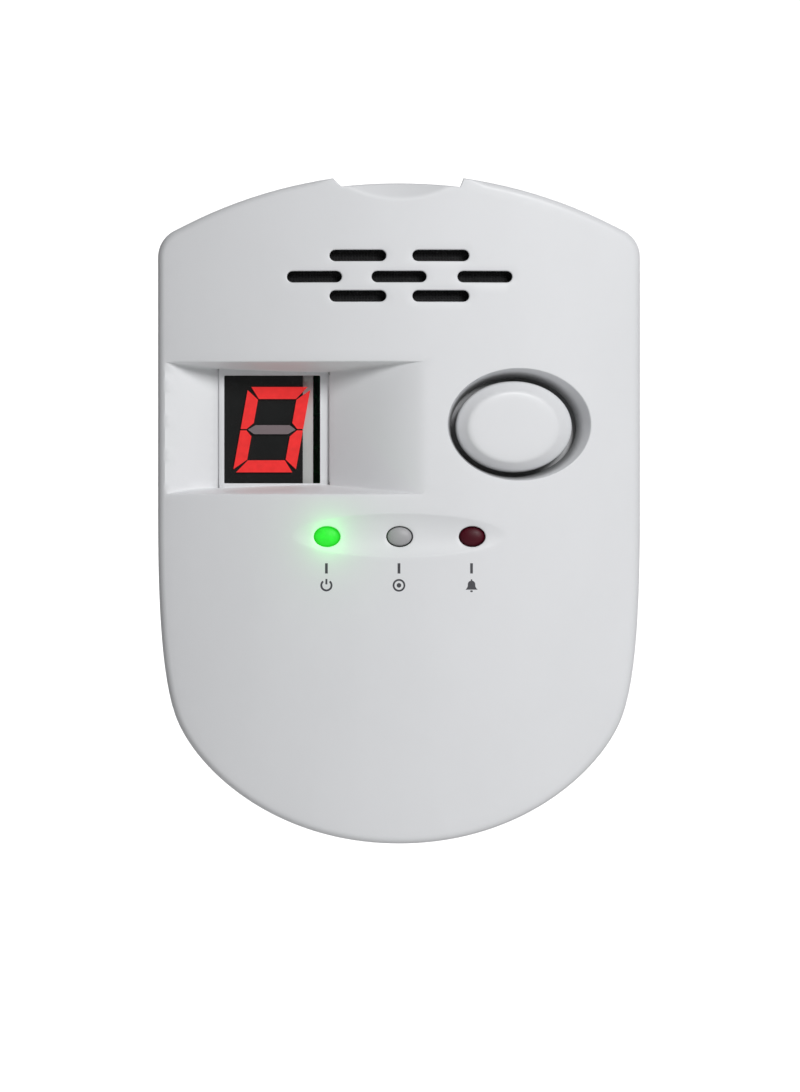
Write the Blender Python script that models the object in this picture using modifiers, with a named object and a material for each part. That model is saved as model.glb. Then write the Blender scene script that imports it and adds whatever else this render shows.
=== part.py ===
"""A plug-in carbon monoxide detector as an assembly of separate pieces.

Metres, +Z up. The plane y = 0 is the wall, and the front of the casing faces -Y.
x = 0, z = 0 is the middle of the plug, half way up the casing.
"""

import math

import bmesh
import bpy
from mathutils import Matrix, Vector

# ---- Driving dimensions -------------------------------------------------------------------------

GAP = 0.0003  # clearance between pieces that would otherwise touch

# Casing, seen from the front
HALF_WIDTH = 0.04036
TOP_RADIUS = 0.0792
TOP_Z = 0.0563
CORNER_RADIUS = 0.00505
FOOT_Z = -0.0558
FOOT_HANDLE = 0.0209
KNEE = Vector((0.03743, -0.0344))
KNEE_LEAN = math.radians(20)
KNEE_HANDLES = (0.0094, 0.0078)
SIDE_START_Z = 0.0003
SIDE_HANDLE = 0.0121

# Casing, seen from the side
WALL = 0.0020
APEX_Y = -0.0380
FRONT_RADIUS = 0.1140
FRONT_EDGE_ROUND = 0.0012
FRONT_DRAFT = 0.985
SEAM_Y = -0.0140
BACK_Y = -0.0015
BACK_SCALE = 0.960
BACK_EDGE_ROUND = 0.0022
LIP_DEPTH = 0.0020
LIP_INSET = 0.0010
LIP_BREAK = 0.0120

# Recess that the display sits in
RECESS_TOP_Z = 0.02455
RECESS_FOOT_Z = 0.00265
RECESS_DRAFT = math.tan(math.radians(11))
RECESS_DEPTH = 0.0090
FRAME_X = (-0.0299, -0.0117)
WINDOW_X = (-0.02906, -0.0131)
WINDOW_Z = (0.00446, 0.0224)
RECESS_BACKING = 0.0016
WINDOW_WALL = 0.0010

# Display
DISPLAY_X = (-0.0298, -0.0143)
DISPLAY_Z = (0.00393, 0.02293)
DISPLAY_FACE_Y = -0.0271
DISPLAY_DEPTH = 0.0080
FILM_X = (-0.0297, -0.0160)
FILM_THICKNESS = 0.0002
DIGIT_HEIGHT = 0.0142
DIGIT_WIDTH = 0.0104
DIGIT_SLANT = 0.18
DIGIT_CENTRE = (-0.02115, 0.01340)
SEGMENT_WIDTH = 0.0020
MIDDLE_SEGMENT_WIDTH = 0.0015
SEGMENT_THICKNESS = 0.0002
SEGMENT_GAP = 0.00012

# Test button: an oval, on a dished seat that lies along the curved front
BUTTON_X = 0.0190
BUTTON_Z = 0.0138
OVAL = 1.28  # width of the button's outlines over their height
BUTTON_RIM = 0.00755
BUTTON_FACE = 0.0058
BUTTON_PROUD = 0.0004
HOLE_RADIUS = 0.00815
DISH_RADIUS = 0.0093
DISH_SHIFT = Vector((0.00096, 0.00038))  # the dish's rim is set off to the upper right of the button
DISH_DEPTH = 0.0046
COLLAR_RADIUS = 0.0117
COLLAR_DEPTH = 0.0062
FLANGE_RADIUS = 0.0091
FLANGE_THICKNESS = 0.0014
STEM_RADIUS = 0.0020
BUTTON_HOLLOW = 0.0061
BUTTON_SKIN = 0.0016

# Indicator lamps
LAMP_XS = {"power": -0.0119, "state": 0.0001, "alarm": 0.0121}
LAMP_Z = -0.0044
LAMP_RADIUS = 0.00158
LAMP_OVAL = 1.28
LAMP_HOLE_RADIUS = 0.00188
LAMP_TIP_DEPTH = 0.0004
LAMP_BASE_Y = -0.0295
LAMP_DISH = (0.0175, 0.0036)
LAMP_DISH_DEPTH = 0.0009
LAMP_DISH_BALL = 0.0060
LEAD_SPREAD = 0.00127
LEAD_RADIUS = 0.0003
LAMP_ARC = [math.radians(a) for a in (0, 30, 60, 90)]
SPACER_RADIUS = 0.0024

# Sound slots: rows of (z, middles along x, length)
SLOT_ROWS = (
    (0.0421, (-0.0068, 0.0069), 0.0094),
    (0.0386, (-0.0140, 0.0000, 0.0142), 0.0091),
    (0.0354, (-0.0068, 0.0069), 0.0094),
)
SLOT_HEIGHT = 0.0019

# Notch and scoop in the top edge
NOTCH_LEFT = (-0.0110, -0.0096)  # x at its top and at its foot
NOTCH_RIGHT = (0.0108, 0.0102)
NOTCH_DEPTH = 0.0016
SCOOP_RADIUS = 0.0360
SCOOP_FOOT_Z = 0.0515
SCOOP_DEPTH = 0.0022
SCOOP_TOP_Z = 0.0543

# Circuit board
BOARD_HALF_WIDTH = 0.0302
BOARD_Z = (-0.0315, 0.0460)
BOARD_FRONT_Y = -0.0176
BOARD_BACK_Y = -0.0160
BOARD_SCREWS = ((-0.0262, 0.0412), (0.0262, 0.0412), (-0.0262, -0.0275), (0.0262, -0.0275))
BOARD_SCREW_RADIUS = 0.0010
POST_HOLE_Y = -0.0245
ON_BOARD = BOARD_FRONT_Y - GAP

# Screws that hold the two covers together
HOUSING_SCREWS = ((-0.0338, 0.0360), (0.0338, 0.0360), (-0.0270, -0.0360), (0.0270, -0.0360))
BOSS_RADIUS = 0.0032
BOSS_HOLE_Y = -0.0220
SCREW_TUBE_RADIUS = 0.0046
SCREW_SEAT_Y = -0.0080
SCREW_RADIUS = 0.0013
SCREW_HEAD_RADIUS = 0.0026

# Plug: two flat blades, 12.7 mm apart
BLADE_X = 0.00635
BLADE_SIZE = (0.0015, 0.00635)
BLADE_LENGTH = 0.0160
BLADE_TAIL_Y = -0.0105
BLADE_CLEARANCE = 0.00015
PLUG_PAD = (0.0180, 0.0150)
CARRIER_SIZE = (0.0300, 0.0140)
CARRIER_Y = (-0.0083, -0.0053)
CARRIER_SCREWS = ((-0.0120, 0.0), (0.0120, 0.0))
CARRIER_SCREW_RADIUS = 0.0009
CARRIER_POST_RADIUS = 0.0022

# Back of the rear cover
VENT_XS = (-0.0175, -0.0105, -0.0035, 0.0035, 0.0105, 0.0175)
VENT_ZS = (0.0300,)
VENT_LENGTH = 0.0140
VENT_WIDTH = 0.0018
LABEL_Z = -0.0300
LABEL_HALF = (0.0150, 0.0090)
LABEL_RECESS = 0.0005

# Pieces on the board
SENSOR_AT = (-0.0110, 0.0360)
SENSOR_RADIUS = 0.0080
SENSOR_MOUTH = 0.0055
SENSOR_TIP_Y = -0.0320
BUZZER_AT = (0.0130, 0.0345)
BUZZER_RADIUS = 0.0110
BUZZER_TIP_Y = -0.0292
TRANSFORMER_AT = (0.0170, -0.0190)
VARISTOR_AT = (0.0205, -0.0075)
TRIM_AT = (-0.0060, -0.0120)
FUSE_Z = -0.0285
WIRE_Z = -0.0120
WIRE_RADIUS = 0.0008
SCREEN_HALF_WIDTH = 0.0205
SCREEN_Z = (0.0325, 0.0455)
SCREEN_THICKNESS = 0.0006

# Moving pieces
SWITCH_HEIGHT = 0.0035
SWITCH_SIDE = 0.0060
PLUNGER_RADIUS = 0.00175
PLUNGER_TIP_Y = -0.0240


# ---- Scene and materials ------------------------------------------------------------------------

for old in list(bpy.data.objects):
    bpy.data.objects.remove(old)

PARTS = bpy.data.collections.new("carbon_monoxide_detector")
CUTTERS = bpy.data.collections.new("cutters")
for group in (PARTS, CUTTERS):
    bpy.context.scene.collection.children.link(group)

MATERIALS = {
    # name: (colour, roughness, metallic)
    "cover_white": ((0.80, 0.81, 0.83), 0.42, 0.0),
    "button_white": ((0.84, 0.85, 0.87), 0.38, 0.0),
    "rear_white": ((0.76, 0.77, 0.79), 0.50, 0.0),
    "black_plastic": ((0.02, 0.02, 0.022), 0.55, 0.0),
    "label": ((0.72, 0.73, 0.75), 0.45, 0.0),
    "nickel_brass": ((0.78, 0.74, 0.66), 0.28, 1.0),
    "steel": ((0.62, 0.62, 0.64), 0.32, 1.0),
    "board_green": ((0.03, 0.20, 0.08), 0.45, 0.0),
    "green_lamp": ((0.10, 0.95, 0.18), 0.20, 0.0),
    "grey_lamp": ((0.52, 0.53, 0.55), 0.30, 0.0),
    "red_lamp": ((0.22, 0.01, 0.03), 0.18, 0.0),
    "display_grey": ((0.42, 0.43, 0.42), 0.50, 0.0),
    "display_black": ((0.015, 0.016, 0.016), 0.20, 0.0),
    "segment_lit": ((0.95, 0.08, 0.06), 0.30, 0.0),
    "segment_unlit": ((0.30, 0.27, 0.29), 0.40, 0.0),
    "red_wire": ((0.62, 0.04, 0.03), 0.45, 0.0),
    "blue_wire": ((0.04, 0.12, 0.50), 0.45, 0.0),
    "copper": ((0.72, 0.34, 0.18), 0.35, 1.0),
    "ferrite": ((0.10, 0.10, 0.11), 0.60, 0.0),
    "yellow_film": ((0.80, 0.62, 0.08), 0.45, 0.0),
    "blue_ceramic": ((0.05, 0.18, 0.55), 0.35, 0.0),
    "glass": ((0.75, 0.82, 0.80), 0.08, 0.0),
}


def material(name):
    made = bpy.data.materials.get(name)
    if made is None:
        colour, roughness, metallic = MATERIALS[name]
        made = bpy.data.materials.new(name)
        made.use_nodes = True
        shader = made.node_tree.nodes["Principled BSDF"]
        shader.inputs["Base Color"].default_value = (*colour, 1.0)
        shader.inputs["Roughness"].default_value = roughness
        shader.inputs["Metallic"].default_value = metallic
    return made


# ---- Shape helpers ------------------------------------------------------------------------------


def object_of(name, mesh, finish=None):
    """A part if it has a finish, or else a cutter, which isn't rendered."""
    made = bpy.data.objects.new(name, mesh)
    if finish:
        mesh.materials.append(material(finish))
        PARTS.objects.link(made)
    else:
        made.hide_render = True
        made.display_type = "WIRE"
        CUTTERS.objects.link(made)
    return made


def mesh_of(name, build):
    """A mesh from a function that fills a bmesh."""
    shape = bmesh.new()
    build(shape)
    bmesh.ops.recalc_face_normals(shape, faces=shape.faces)
    mesh = bpy.data.meshes.new(name)
    shape.to_mesh(mesh)
    shape.free()
    return mesh


def box(name, x, y, z, finish=None):
    """A box from (low, high) along each axis."""
    size = Matrix.Diagonal((x[1] - x[0], y[1] - y[0], z[1] - z[0], 1))
    middle = Matrix.Translation([(a + b) / 2 for a, b in (x, y, z)])
    mesh = mesh_of(name, lambda shape: bmesh.ops.create_cube(shape, size=1, matrix=middle @ size))
    return object_of(name, mesh, finish)


def along_y(x, y, z):
    """The place of a piece whose own axis is Z, set along Y with its far end towards the front."""
    return Matrix.Translation((x, y, z)) @ Matrix.Rotation(math.radians(90), 4, "X")


def rod(name, x, z, radius, y_back, y_front, finish=None, sides=14):
    """A round rod along Y."""
    place = along_y(x, (y_back + y_front) / 2, z)
    length = y_back - y_front

    def build(shape):
        bmesh.ops.create_cone(
            shape, cap_ends=True, segments=sides, radius1=radius, radius2=radius, depth=length, matrix=place
        )

    return object_of(name, mesh_of(name, build), finish)


def turned(name, profile, place, finish=None, sides=24, oval=1.0):
    """A profile of (radius, height) points, from its outer top down, turned about its own axis with a Screw.

    place carries its axis from Z to where the piece is, and oval stretches it along x.
    """
    mesh = bpy.data.meshes.new(name)
    mesh.from_pydata([(r, 0, h) for r, h in profile], [(i, i + 1) for i in range(len(profile) - 1)], [])
    made = object_of(name, mesh, finish)
    screw = made.modifiers.new("turn", "SCREW")
    screw.steps = screw.render_steps = sides
    screw.use_merge_vertices = True
    screw.merge_threshold = 1e-5
    made.matrix_world = place @ Matrix.Diagonal((oval, 1, 1, 1))
    return made


def outline_solid(name, outline, y_back, y_front, finish=None):
    """A flat outline of (x, z) points, as thick as from y_back to y_front."""
    curve = bpy.data.curves.new(name, "CURVE")
    curve.dimensions = "2D"
    curve.fill_mode = "BOTH"
    curve.extrude = (y_back - y_front) / 2
    spline = curve.splines.new("POLY")
    spline.points.add(len(outline) - 1)
    for point, (x, z) in zip(spline.points, outline):
        point.co = (x, z, 0, 1)
    spline.use_cyclic_u = True
    helper = bpy.data.objects.new(name + "_outline", curve)
    CUTTERS.objects.link(helper)
    bpy.context.view_layer.update()
    mesh = bpy.data.meshes.new_from_object(helper.evaluated_get(bpy.context.evaluated_depsgraph_get()))
    bpy.data.objects.remove(helper)
    mesh.transform(along_y(0, (y_back + y_front) / 2, 0))
    shape = bmesh.new()
    shape.from_mesh(mesh)
    bmesh.ops.remove_doubles(shape, verts=shape.verts, dist=1e-6)
    bmesh.ops.recalc_face_normals(shape, faces=shape.faces)
    shape.to_mesh(mesh)
    shape.free()
    return object_of(name, mesh, finish)


def loft(name, rings, finish=None):
    """A closed solid through rings of (x, y, z) points, each ring with as many points as the next."""

    def build(shape):
        loops = [[shape.verts.new(point) for point in ring] for ring in rings]
        count = len(rings[0])
        for near, far in zip(loops, loops[1:]):
            for i in range(count):
                j = (i + 1) % count
                shape.faces.new((near[i], near[j], far[j], far[i]))
        shape.faces.new(loops[0])
        shape.faces.new(loops[-1])
        bmesh.ops.triangulate(shape, faces=shape.faces)

    return object_of(name, mesh_of(name, build), finish)


def combine(target, others, operation="DIFFERENCE", solver="EXACT"):
    """Cuts others from target, or with UNION or INTERSECT joins or keeps what they share."""
    for other in others:
        made = target.modifiers.new(other.name, "BOOLEAN")
        made.operation = operation
        made.solver = solver
        made.object = other
    return target


def as_mesh(obj):
    """Applies the piece's modifiers."""
    bpy.context.view_layer.update()
    mesh = bpy.data.meshes.new_from_object(obj.evaluated_get(bpy.context.evaluated_depsgraph_get()))
    obj.modifiers.clear()
    obj.data = mesh
    return obj


def rounded(obj, width, segments):
    """Rounds the piece's sharp edges."""
    bevel = obj.modifiers.new("rounded_edges", "BEVEL")
    bevel.width = width
    bevel.segments = segments
    bevel.limit_method = "ANGLE"
    bevel.angle_limit = math.radians(40)
    bevel.use_clamp_overlap = False
    return bevel


def origin_at(obj, place):
    """Moves the piece's origin, and not the piece."""
    obj.data.transform(Matrix.Translation(place).inverted() @ obj.matrix_world)
    obj.matrix_world = Matrix.Translation(place)
    return obj


def bezier(p0, p1, p2, p3, count):
    """count points along a cubic curve, from p0 up to but not including p3."""
    points = []
    for i in range(count):
        t = i / count
        s = 1 - t
        points.append(Vector(p0) * s**3 + Vector(p1) * 3 * s * s * t + Vector(p2) * 3 * s * t * t + Vector(p3) * t**3)
    return points


def arc(centre, radius, start, end, count):
    """Points along an arc, both ends included. Angles are in radians."""
    angles = [start + (end - start) * i / count for i in range(count + 1)]
    return [Vector((centre[0] + radius * math.cos(a), centre[1] + radius * math.sin(a))) for a in angles]


# ---- Casing outline and front surface -----------------------------------------------------------


def casing_outline():
    """The casing seen from the front, anticlockwise from the middle of its foot, as (x, z)."""
    lean = Vector((math.sin(KNEE_LEAN), math.cos(KNEE_LEAN)))
    lower = bezier((0, FOOT_Z), (FOOT_HANDLE, FOOT_Z), KNEE - lean * KNEE_HANDLES[0], KNEE, 12)
    side_end = (HALF_WIDTH, SIDE_START_Z)
    upper = bezier(KNEE, KNEE + lean * KNEE_HANDLES[1], (HALF_WIDTH, SIDE_START_Z - SIDE_HANDLE), side_end, 5)
    arc_z = TOP_Z - TOP_RADIUS
    corner_x = HALF_WIDTH - CORNER_RADIUS
    corner_z = arc_z + math.sqrt((TOP_RADIUS - CORNER_RADIUS) ** 2 - corner_x**2)
    turn = math.atan2(corner_z - arc_z, corner_x)
    corner = arc((corner_x, corner_z), CORNER_RADIUS, 0, turn, 5)
    top = arc((0, arc_z), TOP_RADIUS, turn, math.pi / 2, 8)[1:]
    right = lower + upper + [Vector(side_end)] + corner + top
    left = [Vector((-p.x, p.y)) for p in reversed(right[1:-1])]
    return right + left


def rounded_box(x, z, half_x, half_z, radius):
    """The outline of a rectangle with round corners."""
    points = []
    for i, (side_x, side_z) in enumerate(((1, 1), (-1, 1), (-1, -1), (1, -1))):
        corner = (x + side_x * (half_x - radius), z + side_z * (half_z - radius))
        points += arc(corner, radius, i * math.pi / 2, (i + 1) * math.pi / 2, 4)
    return points


def scaled(outline, factor):
    return [point * factor for point in outline]


def inset(outline, distance):
    """The outline moved in by a distance along its normals."""
    moved = []
    for i, point in enumerate(outline):
        run = (outline[(i + 1) % len(outline)] - outline[i - 1]).normalized()
        moved.append(point - Vector((run.y, -run.x)) * distance)
    return moved


def ring(outline, y, scale=1.0):
    return [(p[0] * scale, y, p[1] * scale) for p in outline]


def front_y(x, below=0.0):
    """Where the curved front is at x, or a surface that far below it."""
    radius = FRONT_RADIUS - below
    return APEX_Y + FRONT_RADIUS - math.sqrt(radius**2 - x**2)


def along_front(obj):
    """Bends a piece that was made about the plane y = 0 so that it lies along the curved front."""
    as_mesh(obj)
    obj.data.transform(obj.matrix_world)
    obj.matrix_world = Matrix.Identity(4)
    for vertex in obj.data.vertices:
        vertex.co.y += front_y(vertex.co.x)
    return obj


def front_limit(name, below, sides=240):
    """A tall cylinder whose near side is the casing's curved front, or a surface that far below it."""
    place = Matrix.Translation((0, APEX_Y + FRONT_RADIUS, 0))
    radius = FRONT_RADIUS - below

    def build(shape):
        bmesh.ops.create_cone(
            shape, cap_ends=True, segments=sides, radius1=radius, radius2=radius, depth=0.16, matrix=place
        )

    return object_of(name, mesh_of(name, build))


OUTLINE = casing_outline()


# ---- Front cover --------------------------------------------------------------------------------


def recess_floor():
    """(x, depth below the apex) along the display recess: a hollowed left side, a flat frame, a crowned right side."""
    left = bezier((-0.0395, 0.0061), (-0.0372, 0.0077), (-0.0335, 0.0090), (-0.0301, 0.0094), 6)
    right = bezier((-0.0115, 0.0082), (-0.0066, 0.0048), (-0.0005, 0.0004), (0.0052, -0.0001), 10)
    frame = [Vector((x, RECESS_DEPTH)) for x in FRAME_X]
    return left + [Vector((-0.0301, 0.0094))] + frame + right + [Vector((0.0052, -0.0001))]


def recess(name, margin):
    """The display recess as a solid, grown by a margin for the wall behind it."""
    proud = 0.0030
    rings = []
    for x, depth in recess_floor():
        outer_y = front_y(x) - proud
        floor_y = APEX_Y + depth + margin
        spread = proud * RECESS_DRAFT + margin
        draw = (floor_y - margin - front_y(x)) * RECESS_DRAFT - margin
        rings.append(
            (
                (x, outer_y, RECESS_FOOT_Z - spread),
                (x, floor_y, RECESS_FOOT_Z + draw),
                (x, floor_y, RECESS_TOP_Z - draw),
                (x, outer_y, RECESS_TOP_Z + spread),
            )
        )
    return loft(name, rings)


def stadium(x, z, length, height):
    """The outline of a slot with round ends."""
    reach = (length - height) / 2
    ends = arc((x + reach, z), height / 2, -math.pi / 2, math.pi / 2, 4)
    return ends + arc((x - reach, z), height / 2, math.pi / 2, 3 * math.pi / 2, 4)


def button_piece(name, profile, finish=None, sides=36):
    """A turned oval on the button's axis. Heights count from the front surface, and it curves along with the front."""
    return along_front(turned(name, profile, along_y(BUTTON_X, 0, BUTTON_Z), finish, sides, OVAL))


def cone_profile(top_radius, foot_radius, top, foot):
    return [(0, top), (top_radius, top), (foot_radius, foot), (0, foot)]


def button_dish(sides=36):
    """The dish round the button: its foot is just wider than the hole, and its rim is a little off centre."""
    foot = HOLE_RADIUS + 0.00015
    rings = []
    for share in (0, 1, 2):
        radius = foot + (DISH_RADIUS - foot) * share
        x, z = Vector((BUTTON_X, BUTTON_Z)) + DISH_SHIFT * share
        oval = [Vector((x + (p.x - x) * OVAL, p.y)) for p in arc((x, z), radius, 0, 2 * math.pi, sides)[:-1]]
        rings.append(ring(oval, DISH_DEPTH * (1 - share)))
    return along_front(loft("button_dish", rings))


def lamp_oval(name, x, radius, y_back, y_front):
    """An oval rod for a lamp or its hole."""
    made = rod(name, 0, 0, radius, y_back, y_front)
    made.matrix_world = Matrix.Translation((x, 0, LAMP_Z)) @ Matrix.Diagonal((LAMP_OVAL, 1, 1, 1))
    return made


def lamp_dish():
    """A shallow oval hollow round the three lamps: one side of a flattened ball, bent along the front."""
    half_width, half_height = LAMP_DISH
    # The ball is cut through off its middle, where its outline is this much smaller than at its widest.
    cut = math.sqrt(1 - (1 - LAMP_DISH_DEPTH / LAMP_DISH_BALL) ** 2)
    size = Matrix.Diagonal((half_width / cut, LAMP_DISH_BALL, half_height / cut, 1))
    place = Matrix.Translation((0, LAMP_DISH_DEPTH - LAMP_DISH_BALL, LAMP_Z + 0.0002)) @ size

    def build(shape):
        bmesh.ops.create_uvsphere(shape, u_segments=48, v_segments=24, radius=1, matrix=place)

    return along_front(object_of("lamp_dish", mesh_of("lamp_dish", build)))


def notch(name):
    """The piece cut out of the top edge: it follows the top arc, and its ends lean."""
    arc_z = TOP_Z - TOP_RADIUS
    foot_radius = TOP_RADIUS - NOTCH_DEPTH
    ends = [math.acos(side[1] / foot_radius) for side in (NOTCH_LEFT, NOTCH_RIGHT)]
    foot = arc((0, arc_z), foot_radius, *ends, 10)
    lift = 0.0040
    corners = []
    for top, low in (NOTCH_RIGHT, NOTCH_LEFT):
        shoulder_z = arc_z + math.sqrt(TOP_RADIUS**2 - top**2)
        corners.append(Vector((top + (top - low) * lift / NOTCH_DEPTH, shoulder_z + lift)))
    return outline_solid(name, foot + corners, 0.001, APEX_Y - 0.005)


def scoop():
    """A big round tool, leaning back, that hollows the front below the notch."""
    run = Vector((0, SCOOP_DEPTH, SCOOP_TOP_Z - SCOOP_FOOT_Z)).normalized()
    away = Vector((0, -run.z, run.y))
    foot = Vector((0, APEX_Y, SCOOP_FOOT_Z))
    place = Matrix.Translation(foot + away * SCOOP_RADIUS) @ run.to_track_quat("Z", "X").to_matrix().to_4x4()

    def build(shape):
        bmesh.ops.create_cone(
            shape, cap_ends=True, segments=120, radius1=SCOOP_RADIUS, radius2=SCOOP_RADIUS, depth=0.03, matrix=place
        )

    return object_of("scoop", mesh_of("scoop", build))


def cavity():
    """The inside of the front cover: what the walls, bosses and backings leave free."""
    hollow = outline_solid("front_cavity", inset(OUTLINE, WALL), SEAM_Y + 0.001, APEX_Y - 0.005)
    combine(hollow, [front_limit("inner_front_limit", WALL, 140)], "INTERSECT")
    solids = [recess("recess_backing", RECESS_BACKING)]
    collar = cone_profile(COLLAR_RADIUS, COLLAR_RADIUS, 0.004, -COLLAR_DEPTH)
    solids.append(button_piece("collar_backing", collar))
    solids.append(box("notch_backing", (-0.0135, 0.0135), (-0.045, 0.0), (0.0521, 0.060)))
    for i, (x, z) in enumerate(HOUSING_SCREWS):
        solids.append(rod(f"boss_{i}", x, z, BOSS_RADIUS, 0.0, -0.045))
    for i, (x, z) in enumerate(BOARD_SCREWS):
        solids.append(rod(f"post_{i}", x, z, 0.0025, BOARD_FRONT_Y - GAP, -0.045))
    return combine(hollow, solids)


def front_holes():
    """Everything that goes right through the front wall, and the screw holes behind it."""
    window_y = APEX_Y + RECESS_DEPTH
    seat_x = (DISPLAY_X[0] - GAP, WINDOW_X[1] + 0.0008)
    seat_z = (DISPLAY_Z[0] - GAP, DISPLAY_Z[1] + GAP)
    holes = [
        box("window", WINDOW_X, (window_y - 0.002, window_y + 0.004), WINDOW_Z),
        box("display_seat", seat_x, (window_y + WINDOW_WALL, window_y + 0.006), seat_z),
        button_piece("button_hole", cone_profile(HOLE_RADIUS, HOLE_RADIUS, 0.001, -COLLAR_DEPTH - 0.002)),
    ]
    for i, (z, xs, length) in enumerate(SLOT_ROWS):
        for j, x in enumerate(xs):
            holes.append(outline_solid(f"slot_{i}_{j}", stadium(x, z, length, SLOT_HEIGHT), -0.030, -0.045))
    for name, x in LAMP_XS.items():
        holes.append(lamp_oval(f"{name}_lamp_hole", x, LAMP_HOLE_RADIUS, -0.033, -0.042))
    for i, (x, z) in enumerate(HOUSING_SCREWS):
        holes.append(rod(f"boss_hole_{i}", x, z, SCREW_RADIUS + GAP, 0.0, BOSS_HOLE_Y, sides=12))
    for i, (x, z) in enumerate(BOARD_SCREWS):
        holes.append(rod(f"post_hole_{i}", x, z, BOARD_SCREW_RADIUS + GAP, 0.0, POST_HOLE_Y, sides=12))
    return holes


def front_cover():
    spare = 0.006
    rings = [ring(OUTLINE, SEAM_Y + spare), ring(OUTLINE, SEAM_Y), ring(OUTLINE, -0.045, FRONT_DRAFT)]
    body = loft("front_cover", rings, "cover_white")
    combine(body, [front_limit("front_limit", 0)], "INTERSECT")
    rounded(body, FRONT_EDGE_ROUND, 2)
    seam = box("front_seam", (-0.05, 0.05), (SEAM_Y, SEAM_Y + spare + 0.001), (-0.07, 0.07))
    rebate = outline_solid("rebate", inset(OUTLINE, LIP_INSET), SEAM_Y + 0.001, SEAM_Y - LIP_DEPTH)
    combine(rebate, [box("rebate_end", (-LIP_BREAK, LIP_BREAK), (-0.02, 0.0), (0.045, 0.060))])
    hollows = [recess("display_recess", 0), button_dish(), notch("front_notch"), scoop(), lamp_dish()]
    hollows += [seam, cavity(), rebate]
    # The exact solver loses the whole cover at the recess, where thin bevel faces cross it.
    return combine(body, hollows + front_holes(), solver="MANIFOLD")


# ---- Rear cover, plug and label -----------------------------------------------------------------


def rear_outline(y):
    """How much the outline is scaled at y: full size at the seam, smaller at the back."""
    return BACK_SCALE + (1 - BACK_SCALE) * (BACK_Y - y) / (BACK_Y - SEAM_Y)


def rear_hollow():
    """The inside of the rear cover, less the screw tubes and the plug's backing."""
    inner = inset(OUTLINE, WALL)
    floor_y = BACK_Y - WALL
    rings = [ring(inner, floor_y, rear_outline(floor_y)), ring(inner, SEAM_Y - 0.004)]
    hollow = loft("rear_cavity", rings)
    end_y = SEAM_Y + GAP
    solids = [box("rear_notch_backing", (-0.0135, 0.0135), (end_y, 0.0), (0.0521, 0.060))]
    for i, (x, z) in enumerate(HOUSING_SCREWS):
        solids.append(rod(f"screw_tube_{i}", x, z, SCREW_TUBE_RADIUS, 0.0, end_y, sides=20))
    for i, (x, z) in enumerate(CARRIER_SCREWS):
        solids.append(rod(f"carrier_post_{i}", x, z, CARRIER_POST_RADIUS, 0.0, CARRIER_Y[1] + GAP))
    return combine(hollow, solids)


def rear_cover():
    front_y_end = SEAM_Y + GAP
    rings = [ring(OUTLINE, BACK_Y, BACK_SCALE), ring(OUTLINE, SEAM_Y), ring(OUTLINE, SEAM_Y - 0.006)]
    body = loft("rear_cover", rings, "rear_white")
    rounded(body, BACK_EDGE_ROUND, 2)
    half_x, half_z = PLUG_PAD
    pad = outline_solid("plug_pad", rounded_box(0, 0, half_x, half_z, 0.004), 0.0, BACK_Y - 0.001)
    combine(body, [pad], "UNION")
    outer = outline_solid("seam_outside", scaled(OUTLINE, 1.1), front_y_end, SEAM_Y - 0.008)
    lip = outline_solid("lip", inset(OUTLINE, LIP_INSET + GAP), front_y_end + 0.001, SEAM_Y - LIP_DEPTH + GAP)
    stop = LIP_BREAK + GAP
    combine(lip, [box("lip_end", (-stop, stop), (-0.02, 0.0), (0.045, 0.060))])
    combine(outer, [lip])
    cuts = [outer, notch("rear_notch"), rear_hollow()]
    blade_x, blade_z = (size / 2 + BLADE_CLEARANCE for size in BLADE_SIZE)
    for side, x in (("left", -BLADE_X), ("right", BLADE_X)):
        cuts.append(box(f"{side}_blade_slot", (x - blade_x, x + blade_x), (-0.005, 0.001), (-blade_z, blade_z)))
    for i, (x, z) in enumerate(HOUSING_SCREWS):
        cuts.append(rod(f"screw_well_{i}", x, z, SCREW_HEAD_RADIUS + GAP, 0.001, SCREW_SEAT_Y))
        cuts.append(rod(f"screw_way_{i}", x, z, SCREW_RADIUS + GAP, 0.0, -0.020, sides=12))
    for i, (x, z) in enumerate(CARRIER_SCREWS):
        cuts.append(rod(f"carrier_hole_{i}", x, z, CARRIER_SCREW_RADIUS + GAP, -0.0024, -0.007, sides=12))
    for i, x in enumerate(VENT_XS):
        for j, z in enumerate(VENT_ZS):
            vent = stadium(0, 0, VENT_LENGTH, VENT_WIDTH)
            upright = [Vector((x + p.y, z - p.x)) for p in vent]
            cuts.append(outline_solid(f"vent_{i}_{j}", upright, 0.001, -0.0045))
    label = rounded_box(0, LABEL_Z, LABEL_HALF[0] + GAP, LABEL_HALF[1] + GAP, 0.0015)
    cuts.append(outline_solid("label_recess", label, 0.001, BACK_Y - LABEL_RECESS))
    return combine(body, cuts, solver="MANIFOLD")


def rating_label():
    floor_y = BACK_Y - LABEL_RECESS + GAP
    outline_solid("rating_label", rounded_box(0, LABEL_Z, *LABEL_HALF, 0.0012), floor_y + 0.00015, floor_y, "label")


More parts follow.
